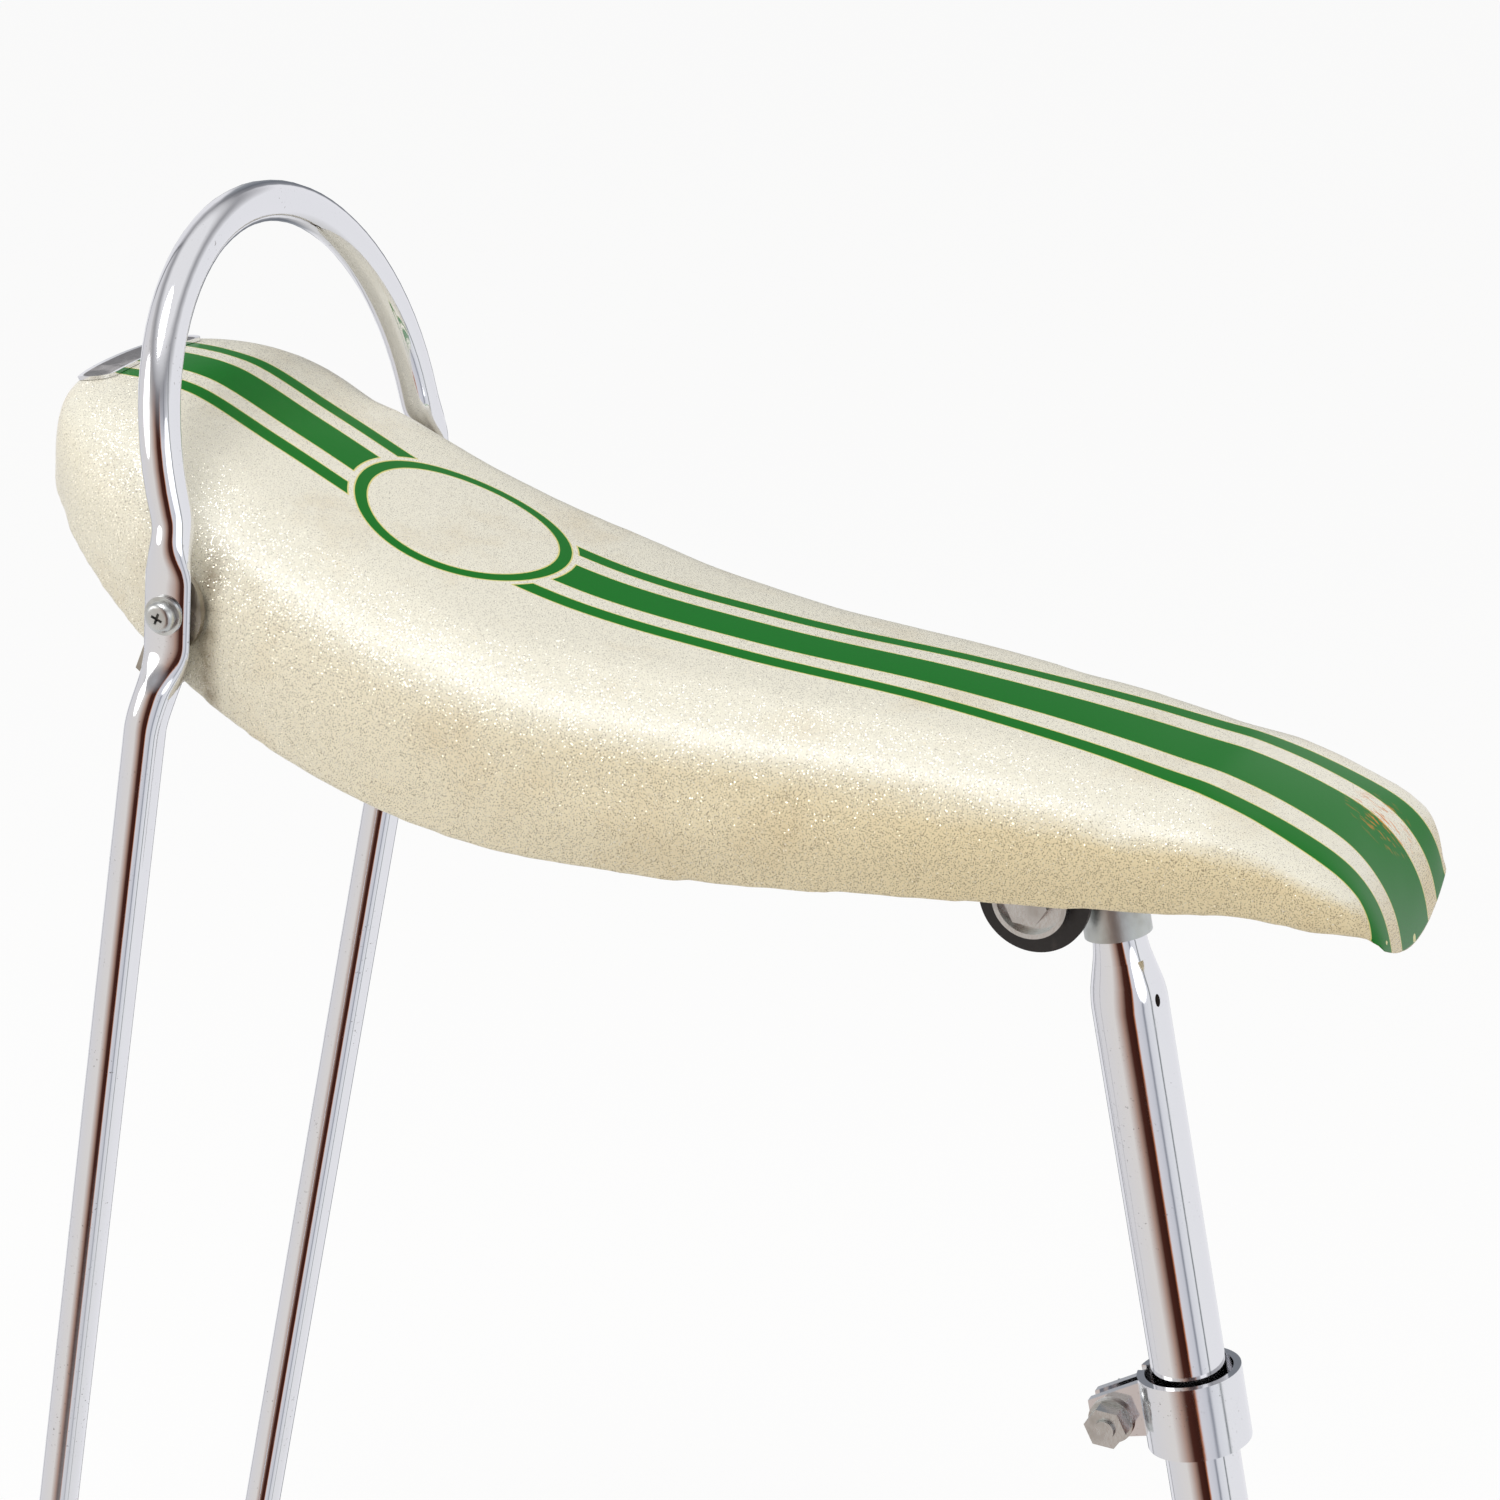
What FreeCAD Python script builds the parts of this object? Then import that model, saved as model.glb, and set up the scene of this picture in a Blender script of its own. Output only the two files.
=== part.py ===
import FreeCAD, Part
import math
import os
import re

import Sketcher

Vector = FreeCAD.Vector

# Frame: X forward to the nose, Y to the left, Z up, origin on the post's axis
# where it enters the seat tube. Millimetres and degrees.
drivingSizes = [
    ("postLean", 14.05, "lean of the seat post, back from upright"),
    ("postDia", 25.4, "seat post outside diameter"),
    ("postInsert", 120.0, "length of post below the origin"),
    ("postStraight", 138.0, "straight post above the origin"),
    ("swageLength", 16.0, "length of the swaged taper"),
    ("neckDia", 17.6, "swaged neck diameter"),
    ("postWall", 2.0, "post wall"),
    ("boltAxisX", -62.0, "seat clamp bolt, along X"),
    ("boltAxisZ", 168.0, "seat clamp bolt, height"),
    ("barrelRadius", 11.5, "clamp barrel radius"),
    ("barrelHalf", 12.0, "half length of the clamp barrel"),
    ("socketWall", 2.4, "wall of the clamp socket round the neck"),
    ("socketLength", 14.0, "length of the clamp socket"),
    ("clampBoltDia", 8.0, "seat clamp bolt diameter"),
    ("washerRadius", 14.5, "serrated washer radius"),
    ("washerThick", 4.0, "serrated washer thickness"),
    ("toothDepth", 1.8, "depth of a serration tooth"),
    ("bracketWall", 2.6, "steel of the pan bracket"),
    ("bracketRadius", 19.0, "rounded foot of the pan bracket"),
    ("cupRadius", 12.8, "cupped washer radius"),
    ("cupDepth", 4.4, "cupped washer depth"),
    ("cupWall", 1.6, "cupped washer metal"),
    ("panWall", 1.6, "seat pan sheet"),
    ("panDepth", 12.0, "recess from the hem up to the pan's underside"),
    ("panFlange", 8.0, "flange turned down round the pan"),
    ("coverWall", 6.0, "cover and foam outside the pan"),
    ("hemTuck", 2.0, "how far the hem turns under"),
    ("barDia", 14.0, "bar tube diameter"),
    ("barBoltX", -342.0, "bar bolt, along X"),
    ("barBoltZ", 235.0, "bar bolt, height"),
    ("barBoltDia", 6.0, "bar bolt diameter"),
    ("loopInset", 4.7, "how far the loop's tube stands inside its bolted flat"),
    ("loopShift", 6.5, "how far the loop stands ahead of the bolt"),
    ("loopRake", 14.6, "lean back of the loop"),
    ("loopRise", 34.0, "from the bolt up to the loop's bend"),
    ("legRake", 8.0, "lean of the legs, bottom end rearward"),
    ("legFlare", 7.0, "how far the legs start outside the bolted flats"),
    ("legEndHalf", 81.0, "half spacing of the legs at the axle ends"),
    ("legLength", 540.0, "bar bolt to axle hole"),
    ("flatThick", 6.0, "crimped flat thickness"),
    ("flatWidth", 17.0, "crimped flat width"),
    ("flatHalf", 15.0, "half length of the crimped flat"),
    ("crimpRun", 18.0, "length of tube that runs out into a flat"),
    ("axleFlatThick", 4.4, "axle end thickness"),
    ("axleFlatWidth", 22.0, "axle end width"),
    ("axleHoleDia", 10.0, "axle hole diameter"),
    ("earClear", 2.2, "pan ear outside the cover's widest line"),
    ("earWall", 2.5, "pan ear sheet"),
    ("earWidth", 28.0, "rounded top of the pan ear"),
    ("earStrap", 16.0, "width of the ear's strap"),
    ("collarBore", 30.2, "collar bore, the seat tube's outside"),
    ("collarWall", 2.6, "collar sheet"),
    ("collarTop", 2.5, "collar's top edge above the origin"),
    ("collarHeight", 26.0, "collar height"),
    ("lugReach", 36.0, "collar lugs behind the post's axis"),
    ("lugGap", 4.0, "slot between the collar lugs"),
    ("lugWall", 3.4, "collar lug thickness"),
    ("collarBoltX", -28.5, "collar bolt behind the post's axis"),
    ("collarBoltZ", -14.5, "collar bolt below the origin"),
    ("collarBoltDia", 7.0, "collar bolt diameter"),
    ("nutFlats", 13.0, "nut and bolt head across flats"),
    ("earDrop", 2.2, "ear strap below the hem"),
    ("earRoot", 38.0, "where the ear strap ends under the pan"),
    ("bracketHalf", 27.0, "half length of the bracket's top"),
    ("barNutFlats", 10.0, "bar nut across flats"),
    ("barNutThick", 5.0, "bar nut thickness"),
    ("barHeadDia", 10.6, "bar screw head diameter"),
    ("barHeadThick", 3.6, "bar screw head height"),
    ("barWasherThick", 1.3, "bar washer thickness"),
    ("clampNutThick", 6.5, "clamp nut and bolt head thickness"),
    ("collarNutThick", 6.0, "collar nut and bolt head thickness"),
    ("collarWasherThick", 1.4, "collar washer thickness"),
    ("seatGap", 0.3, "gap where a piece seats beside another"),
    ("runFit", 0.05, "radial clearance of a bolt that turns"),
]

# Cover stations from tail to nose: place along X, half width, hem height, top height.
coverStations = [
    ("tail", -421.0, 26.0, 270.0, 284.5),
    ("rump", -415.0, 45.0, 261.0, 288.5),
    ("back", -402.0, 60.0, 248.0, 291.0),
    ("hips", -380.0, 72.0, 231.0, 289.5),
    ("pinch", -342.0, 82.0, 207.0, 274.5),
    ("dip", -296.0, 88.0, 188.0, 255.0),
    ("seat", -240.0, 88.5, 175.0, 238.5),
    ("thigh", -170.0, 79.0, 172.0, 230.5),
    ("waist", -100.0, 68.5, 177.0, 227.0),
    ("fore", -20.0, 58.5, 184.5, 218.5),
    ("brow", 22.0, 53.5, 188.0, 211.5),
    ("lip", 46.0, 50.5, 183.5, 195.5),
    ("nose", 59.5, 40.0, 176.5, 180.5),
]
panStations = ["back", "hips", "pinch", "dip", "seat", "thigh", "waist", "fore", "brow"]
sides = (("right", -1), ("left", 1))
toothCount = 28

doc = FreeCAD.newDocument("BananaSeat")
sheet = doc.addObject("Spreadsheet::Sheet", "Sizes")


def fillSheet():
    rows = list(drivingSizes)
    for name, along, half, hem, top in coverStations:
        rows += [
            (name + "X", along, name + " station, along X"),
            (name + "Half", half, name + " station, half width"),
            (name + "Hem", hem, name + " station, hem height"),
            (name + "Top", top, name + " station, top height"),
        ]
    for line, (alias, value, note) in enumerate(rows, start=1):
        sheet.set(f"A{line}", note)
        sheet.set(f"B{line}", str(value))
        sheet.setAlias(f"B{line}", alias)
    doc.recompute()
    return [alias for alias, value, note in rows]


aliases = fillSheet()


def bound(expression):
    return re.sub(r"[A-Za-z]+", lambda m: aliasText.get(m.group(), m.group()), expression)


aliasText = {alias: "Sizes." + alias for alias in aliases}


def number(expression):
    result = sheet.evalExpression(bound(expression))
    return float(getattr(result, "Value", result))


def bind(item, prop, expression):
    item.setExpression(prop, bound(expression))


def originPlane(body, role):
    return next(f for f in body.Origin.OriginFeatures if f.Role == role)


def newBody(label):
    body = doc.addObject("PartDesign::Body", label)
    body.Label = label
    return body


def turned(axis, angle):
    return FreeCAD.Rotation(axis, number(angle))


def place(item, x="0", y="0", z="0", axis=None, angle="0"):
    if axis:
        item.Placement = FreeCAD.Placement(Vector(0, 0, 0), turned(axis, angle))
        bind(item, "Placement.Rotation.Angle", angle)
    for name, text in zip("xyz", (x, y, z)):
        bind(item, "Placement.Base." + name, text)


def newSketch(body, label, role, x="0", y="0", z="0", axis=None, angle="0"):
    # x, y, z and the turn are in the plane's own axes.
    sketch = body.newObject("Sketcher::SketchObject", label)
    sketch.AttachmentSupport = [(originPlane(body, role), "")]
    sketch.MapMode = "FlatFace"
    if axis:
        sketch.AttachmentOffset = FreeCAD.Placement(Vector(0, 0, 0), turned(axis, angle))
        bind(sketch, "AttachmentOffset.Rotation.Angle", angle)
    for name, text in zip("xyz", (x, y, z)):
        bind(sketch, "AttachmentOffset.Base." + name, text)
    return sketch


def fixPoint(sketch, geometry, point, x=None, y=None):
    for kind, text in (("DistanceX", x), ("DistanceY", y)):
        if text is None:
            continue
        rule = Sketcher.Constraint(kind, -1, 1, geometry, point, number(text))
        index = sketch.addConstraint(rule)
        bind(sketch, f"Constraints[{index}]", text)


def addCircle(sketch, diameter, x="0", y="0"):
    centre = Vector(number(x), number(y), 0)
    circle = Part.Circle(centre, Vector(0, 0, 1), number(diameter) / 2)
    index = sketch.addGeometry(circle)
    fixPoint(sketch, index, 3, x, y)
    size = sketch.addConstraint(Sketcher.Constraint("Diameter", index, number(diameter)))
    bind(sketch, f"Constraints[{size}]", diameter)


def addPolygon(sketch, corners):
    points = [Vector(number(x), number(y), 0) for x, y in corners]
    first, count = sketch.GeometryCount, len(points)
    for i in range(count):
        sketch.addGeometry(Part.LineSegment(points[i], points[(i + 1) % count]))
    for i in range(count):
        following = first + (i + 1) % count
        sketch.addConstraint(Sketcher.Constraint("Coincident", first + i, 2, following, 1))
    for i, (x, y) in enumerate(corners):
        fixPoint(sketch, first + i, 1, x, y)


def addHexagon(sketch, acrossFlats):
    corner = f"({acrossFlats}) / sqrt(3)"
    addPolygon(sketch, [
        (f"{corner} * cos({60 * k})", f"{corner} * sin({60 * k})") for k in range(6)])


def addEllipse(sketch, halfX, halfY):
    # Longer along the sketch's x.
    origin = Vector(0, 0, 0)
    tip, side = Vector(number(halfX), 0, 0), Vector(0, number(halfY), 0)
    index = sketch.addGeometry(Part.Ellipse(tip, side, origin))
    sketch.exposeInternalGeometry(index)
    fixPoint(sketch, index, 3, "0", "0")
    fixPoint(sketch, index + 1, 1, halfX, "0")
    fixPoint(sketch, index + 2, 1, y=halfY)


def addPad(body, sketch, length, midplane=False):
    pad = body.newObject("PartDesign::Pad", sketch.Name + "Pad")
    pad.Profile = sketch
    bind(pad, "Length", length)
    pad.Midplane = midplane
    return pad


def addPocket(body, sketch, length, midplane=False, reversedCut=False):
    before = body.Tip
    pocket = body.newObject("PartDesign::Pocket", sketch.Name + "Pocket")
    pocket.Profile = sketch
    bind(pocket, "Length", length)
    pocket.Midplane = midplane
    pocket.Reversed = reversedCut
    doc.recompute()
    if pocket.Shape.Volume > before.Shape.Volume - 0.01:
        raise RuntimeError(pocket.Name + " cuts nothing")
    return pocket


def addLoft(body, sketches, ruled=False, subtract=False):
    kind = "PartDesign::SubtractiveLoft" if subtract else "PartDesign::AdditiveLoft"
    loft = body.newObject(kind, sketches[0].Name + "Loft")
    loft.Profile = sketches[0]
    loft.Sections = sketches[1:]
    loft.Ruled = ruled
    return loft


def addRevolution(body, sketch, axis="V_Axis", angle=360, backward=False):
    turning = body.newObject("PartDesign::Revolution", sketch.Name + "Turned")
    turning.Profile = sketch
    turning.ReferenceAxis = (sketch, [axis])
    turning.Angle = angle
    turning.Reversed = backward
    return turning


yAxis = Vector(0, 1, 0)
xAxis = Vector(1, 0, 0)
shoulderShare = 0.5
bendShare = 0.9


def archSection(sketch, half, hem, top):
    # A flat foot, sides that turn under, round shoulders and a crown,
    # each arc tangent to the next.
    w, z0, z1, tuck = number(half), number(hem), number(top), number("hemTuck")
    zs = z0 + shoulderShare * (z1 - z0)
    rise = z1 - zs
    bend = bendShare * rise
    across = w - bend
    crown = (across ** 2 + rise ** 2 - bend ** 2) / (2 * (rise - bend))
    side = ((zs - z0) ** 2 + tuck ** 2) / (2 * tuck)
    sweep = math.asin((zs - z0) / side)
    lean = math.atan2(across, crown - rise)
    quarter = math.pi / 2

    def addArc(x, y, radius, start, end):
        circle = Part.Circle(Vector(x, y, 0), Vector(0, 0, 1), radius)
        sketch.addGeometry(Part.ArcOfCircle(circle, start, end))

    foot = Part.LineSegment(Vector(tuck - w, z0, 0), Vector(w - tuck, z0, 0))
    sketch.addGeometry(foot)
    addArc(w - side, zs, side, -sweep, 0)
    addArc(across, zs, bend, 0, quarter - lean)
    addArc(0, z1 - crown, crown, quarter - lean, quarter + lean)
    addArc(-across, zs, bend, quarter + lean, math.pi)
    addArc(side - w, zs, side, math.pi, math.pi + sweep)
    sketch.addConstraint(Sketcher.Constraint("Coincident", 0, 2, 1, 1))
    for i in (1, 2, 3, 4):
        sketch.addConstraint(Sketcher.Constraint("Tangent", i, 2, i + 1, 1))
    sketch.addConstraint(Sketcher.Constraint("Coincident", 5, 2, 0, 1))
    level = f"({hem} + {shoulderShare} * ({top} - {hem}))"
    fixPoint(sketch, 0, 1, f"hemTuck - {half}", hem)
    fixPoint(sketch, 0, 2, f"{half} - hemTuck", hem)
    fixPoint(sketch, 2, 1, half, level)
    fixPoint(sketch, 5, 1, f"-{half}", level)
    bendText = f"{bendShare} * ({top} - {level})"
    for i, x in ((2, f"{half} - {bendText}"), (4, f"{bendText} - {half}")):
        fixPoint(sketch, i, 3, x, level)


def stationSketch(body, label, station, shift="0"):
    return newSketch(body, label + station.capitalize(), "YZ_Plane", z=f"{station}X + {shift}")


def coverShell():
    body = newBody("seat_cover")
    sections = []
    for station, *_ in coverStations:
        sketch = stationSketch(body, "cover", station)
        archSection(sketch, station + "Half", station + "Hem", station + "Top")
        sections.append(sketch)
    addLoft(body, sections, ruled=True)
    hollows = []
    for station in panStations:
        sketch = stationSketch(body, "recess", station)
        edge = f"({station}Half - coverWall)"
        low, high = f"{station}Hem - panDepth", f"{station}Hem + panDepth + panWall + seatGap"
        addPolygon(sketch, [(f"-{edge}", low), (edge, low), (edge, high), (f"-{edge}", high)])
        hollows.append(sketch)
    addLoft(body, hollows, ruled=True, subtract=True)
    for side, sign in sides:
        sketch = newSketch(body, "nutRoom" + side, "XZ_Plane", z=f"{-sign} * {earHalf}")
        addCircle(sketch, "barNutFlats * 1.5", "barBoltX", "barBoltZ")
        addPocket(body, sketch, "earClear + coverWall + barNutThick", reversedCut=sign > 0)
    return body


def seatPan():
    body = newBody("seat_pan")
    sections = []
    for station in panStations:
        shift = {panStations[0]: "seatGap", panStations[-1]: "-seatGap"}.get(station, "0")
        sketch = stationSketch(body, "pan", station, shift)
        outer = f"({station}Half - coverWall - seatGap)"
        inner = f"({outer} - panWall)"
        under = f"({station}Hem + panDepth)"
        over, rim = f"{under} + panWall", f"{under} - panFlange"
        addPolygon(sketch, [
            (f"-{outer}", rim), (f"-{inner}", rim), (f"-{inner}", under), (inner, under),
            (inner, rim), (outer, rim), (outer, over), (f"-{outer}", over)])
        sections.append(sketch)
    addLoft(body, sections, ruled=True)
    return body


def panEar():
    # The strap leaves the pan, passes under the hem and stands up outside the cover.
    slope = "atan((hipsHem - dipHem) / (dipX - hipsX))"
    body = newBody("pan_ear_right")
    place(body, "barBoltX", "0", "barBoltZ", yAxis, slope)
    strapTop = f"((pinchHem + panDepth - barBoltZ) * cos({slope}) - 3 * seatGap)"
    underHem = f"((pinchHem - barBoltZ) * cos({slope}) - earDrop)"
    rearward = f"(earStrap / 2 + (barBoltZ - pinchHem) * sin({slope}))"
    narrowing = f"(pinchHalf - hipsHalf) / (pinchX - hipsX) * {rearward}"
    inside = f"(pinchHalf - coverWall - panWall - 3 * seatGap - {narrowing})"
    outside = f"({earHalf} + earWall)"
    profile = newSketch(body, "earProfile", "YZ_Plane")
    addPolygon(profile, [
        ("-earRoot", strapTop), ("-earRoot", f"{strapTop} - earWall"),
        (f"earWall - {inside}", f"{strapTop} - earWall"),
        (f"earWall - {inside}", f"{underHem} - earWall"),
        (f"-{outside}", f"{underHem} - earWall"), (f"-{outside}", "0"), (f"-{earHalf}", "0"),
        (f"-{earHalf}", underHem), (f"-{inside}", underHem), (f"-{inside}", strapTop)])
    addPad(body, profile, "earStrap", midplane=True)
    disc = newSketch(body, "earDisc", "XZ_Plane", z=earHalf)
    addCircle(disc, "earWidth")
    addPad(body, disc, "earWall")
    hole = newSketch(body, "earHole", "XZ_Plane", z=earHalf)
    addCircle(hole, "barBoltDia + 2 * runFit")
    addPocket(body, hole, "4 * earWall", midplane=True)
    return body


def panBracket():
    # A bent channel under the pan, its two rounded ears down to the clamp bolt.
    body = newBody("pan_bracket")
    slope = "atan((waistHem - foreHem) / (foreX - waistX))"
    place(body, "boltAxisX", "0", "boltAxisZ", yAxis, slope)
    share = "(boltAxisX - waistX) / (foreX - waistX)"
    under = f"(waistHem + (foreHem - waistHem) * {share} + panDepth - boltAxisZ)"
    top = f"({under} * cos({slope}) - runFit)"
    plate = newSketch(body, "bracketPlate", "XY_Plane", z=f"{top} - bracketWall")
    reach = f"({earFace} + bracketWall)"
    addPolygon(plate, [
        ("-bracketHalf", f"-{reach}"), ("bracketHalf", f"-{reach}"),
        ("bracketHalf", reach), ("-bracketHalf", reach)])
    addPad(body, plate, "bracketWall")
    for side, sign in sides:
        start = earFace if sign < 0 else f"-{reach}"
        ear = newSketch(body, "bracketEar" + side, "XZ_Plane", z=start)
        addPolygon(ear, [
            ("-bracketHalf", top), ("-bracketHalf", f"{top} - 2 * bracketWall"),
            ("-bracketRadius", "0"), ("bracketRadius", "0"),
            ("bracketHalf", f"{top} - 2 * bracketWall"), ("bracketHalf", top)])
        addPad(body, ear, "bracketWall")
        foot = newSketch(body, "bracketFoot" + side, "XZ_Plane", z=start)
        addCircle(foot, "2 * bracketRadius")
        addPad(body, foot, "bracketWall")
    hole = newSketch(body, "bracketHole", "XZ_Plane")
    addCircle(hole, "clampBoltDia + 2 * runFit")
    addPocket(body, hole, "4 * bracketHalf", midplane=True)
    return body


def serratedWasher(side, sign):
    body = newBody("serrated_washer_" + side)
    place(body, "boltAxisX", f"{sign} * (barrelHalf + seatGap)", "boltAxisZ", xAxis, f"{-90 * sign}")
    disc = newSketch(body, "disc" + side, "XY_Plane")
    addCircle(disc, "2 * washerRadius")
    addCircle(disc, "clampBoltDia + 2 * runFit")
    addPad(body, disc, "washerThick")
    notch = newSketch(body, "notch" + side, "XY_Plane")
    spread = f"(washerRadius * tan({130 / toothCount}))"
    addPolygon(notch, [
        ("washerRadius - toothDepth", "0"), ("washerRadius + toothDepth / 4", f"-{spread}"),
        ("washerRadius + toothDepth / 4", spread)])
    cut = addPocket(body, notch, "washerThick", reversedCut=True)
    ring = body.newObject("PartDesign::PolarPattern", "teeth" + side)
    ring.Originals = [cut]
    ring.Axis = (notch, ["N_Axis"])
    ring.Angle = 360
    ring.Occurrences = toothCount
    body.Tip = ring
    return body


def cuppedWasher(side, sign):
    body = newBody("cupped_washer_" + side)
    face = f"({earFace} + bracketWall + seatGap)"
    place(body, "boltAxisX", f"{sign} * {face}", "boltAxisZ", xAxis, f"{-90 * sign}")
    profile = newSketch(body, "cup" + side, "XZ_Plane")
    bore = "clampBoltDia / 2 + runFit"
    addPolygon(profile, [
        (bore, "0"), ("cupRadius - cupWall", "0"), ("cupRadius", "cupWall"),
        ("cupRadius", "cupDepth"), ("cupRadius - cupWall", "cupDepth"),
        ("cupRadius - cupWall", "cupWall"), (bore, "cupWall")])
    addRevolution(body, profile)
    return body


def hexBolt(label, spot, headFace, flats, headThick, shankFrom, shankTo, diameter):
    # Along Y, measured towards -Y: the hexagon from headFace, the shank between its ends.
    body = newBody(label)
    place(body, spot[0], "0", spot[1], xAxis, "90")
    head = newSketch(body, label.replace("_", "") + "Head", "XY_Plane", z=headFace)
    addHexagon(head, flats)
    addPad(body, head, headThick)
    shank = newSketch(body, label.replace("_", "") + "Shank", "XY_Plane", z=shankFrom)
    addCircle(shank, diameter)
    addPad(body, shank, f"{shankTo} - ({shankFrom})")
    return body


def hexNut(label, spot, start, flats, thick, diameter):
    # Along Y: the face nearer +Y stands at -start.
    body = newBody(label)
    place(body, spot[0], "0", spot[1], xAxis, "90")
    outline = newSketch(body, label.replace("_", "") + "Hex", "XY_Plane", z=start)
    addHexagon(outline, flats)
    addCircle(outline, f"{diameter} + 2 * runFit")
    addPad(body, outline, thick)
    return body


def flatWasher(label, spot, start, outside, diameter, thick):
    body = newBody(label)
    place(body, spot[0], "0", spot[1], xAxis, "90")
    outline = newSketch(body, label.replace("_", "") + "Ring", "XY_Plane", z=start)
    addCircle(outline, outside)
    addCircle(outline, f"{diameter} + 2 * runFit")
    addPad(body, outline, thick)
    return body


def barScrew(side, sign):
    # A domed head outside, the shank in through the flat and the ear.
    body = newBody("bar_screw_" + side)
    place(body, "barBoltX", "0", "barBoltZ", xAxis, f"{-90 * sign}")
    profile = newSketch(body, "screw" + side, "XZ_Plane")
    shank, crown = "barBoltDia / 2", "barHeadDia / 2"
    seat = f"({flatOuter} + barWasherThick + runFit)"
    tail = f"({earHalf} - barNutThick - earWall)"
    addPolygon(profile, [
        ("0", tail), (shank, tail), (shank, seat), (crown, seat),
        (f"{crown}", f"{seat} + barHeadThick / 2"), (f"{crown} * 0.7", f"{seat} + barHeadThick"),
        ("0", f"{seat} + barHeadThick")])
    addRevolution(body, profile)
    return body


def seatPost():
    body = newBody("seat_post")
    place(body, axis=yAxis, angle="-postLean")
    profile = newSketch(body, "postProfile", "XZ_Plane")
    outer, neck = "postDia / 2", "neckDia / 2"
    inner, throat = f"{outer} - postWall", f"{neck} - postWall"
    addPolygon(profile, [
        (inner, "-postInsert"), (outer, "-postInsert"), (outer, "postStraight"),
        (neck, "postStraight + swageLength"), (neck, neckTop), (throat, neckTop),
        (throat, "postStraight + swageLength"), (inner, "postStraight")])
    addRevolution(body, profile)
    return body


def clampStem():
    # A capped socket over the post's neck, joined to the barrel behind it.
    body = newBody("clamp_stem")
    place(body, axis=yAxis, angle="-postLean")
    foot = f"({neckTop} - socketLength)"
    socket = newSketch(body, "stemSocket", "XY_Plane", z=foot)
    addCircle(socket, "neckDia + 2 * (socketWall + runFit)")
    addPad(body, socket, "socketLength + seatGap + socketWall")
    barrel = newSketch(body, "stemBarrel", "XZ_Plane")
    addCircle(barrel, "2 * barrelRadius", boltBack, boltUp)
    addPad(body, barrel, "2 * barrelHalf", midplane=True)
    web = newSketch(body, "stemWeb", "XZ_Plane")
    low = f"{boltUp} - barrelRadius * 0.9"
    addPolygon(web, [
        (boltBack, low), ("0", low), ("0", f"{neckTop} + seatGap + socketWall"),
        (boltBack, f"{neckTop} + seatGap + socketWall")])
    addPad(body, web, "neckDia", midplane=True)
    bore = newSketch(body, "stemBore", "XY_Plane", z=foot)
    addCircle(bore, "neckDia + 2 * runFit")
    addPocket(body, bore, "socketLength + seatGap", reversedCut=True)
    hole = newSketch(body, "stemHole", "XZ_Plane")
    addCircle(hole, "clampBoltDia + 2 * runFit", boltBack, boltUp)
    addPocket(body, hole, "4 * barrelHalf", midplane=True)
    return body


def postCollar():
    # A split band with two lugs behind it, drawn together by the collar bolt.
    body = newBody("post_collar")
    place(body, axis=yAxis, angle="-postLean")
    foot = "collarTop - collarHeight"
    band = newSketch(body, "collarBand", "XY_Plane", z=foot)
    addCircle(band, "collarBore + 2 * collarWall")
    addPad(body, band, "collarHeight")
    lugs = newSketch(body, "collarLugs", "XZ_Plane")
    root = "-collarBore / 2"
    addPolygon(lugs, [
        (root, f"{foot} + lugWall"), ("-lugReach", "collarBoltZ - collarBoltDia"),
        ("-lugReach", "collarBoltZ + collarBoltDia"), (root, "collarTop - collarWall")])
    addPad(body, lugs, "lugGap + 2 * lugWall", midplane=True)
    bore = newSketch(body, "collarBore", "XY_Plane", z=foot)
    addCircle(bore, "collarBore")
    addPocket(body, bore, "collarHeight", reversedCut=True)
    slot = newSketch(body, "collarSlot", "XZ_Plane")
    addPolygon(slot, [
        ("0", f"{foot} - collarWall"), ("-2 * lugReach", f"{foot} - collarWall"),
        ("-2 * lugReach", "collarTop + collarWall"), ("0", "collarTop + collarWall")])
    addPocket(body, slot, "lugGap", midplane=True)
    hole = newSketch(body, "collarHole", "XZ_Plane")
    addCircle(hole, "collarBoltDia + 2 * runFit", "collarBoltX", "collarBoltZ")
    addPocket(body, hole, "2 * lugReach", midplane=True)
    return body


def acrossLoop(distance, y, shift="0"):
    # A plane square to the loop, at a distance above the bolt.
    return dict(x=f"{shift} - ({distance}) * sin(loopRake)", y=y, z=f"({distance}) * cos(loopRake)",
                axis=yAxis, angle="-loopRake")


def acrossLeg(distance, y):
    # A plane square to the leg, at a distance below the bolt.
    return dict(x=f"-({distance}) * sin(legRake)", y=y, z=f"-({distance}) * cos(legRake)",
                axis=yAxis, angle="legRake")


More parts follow.
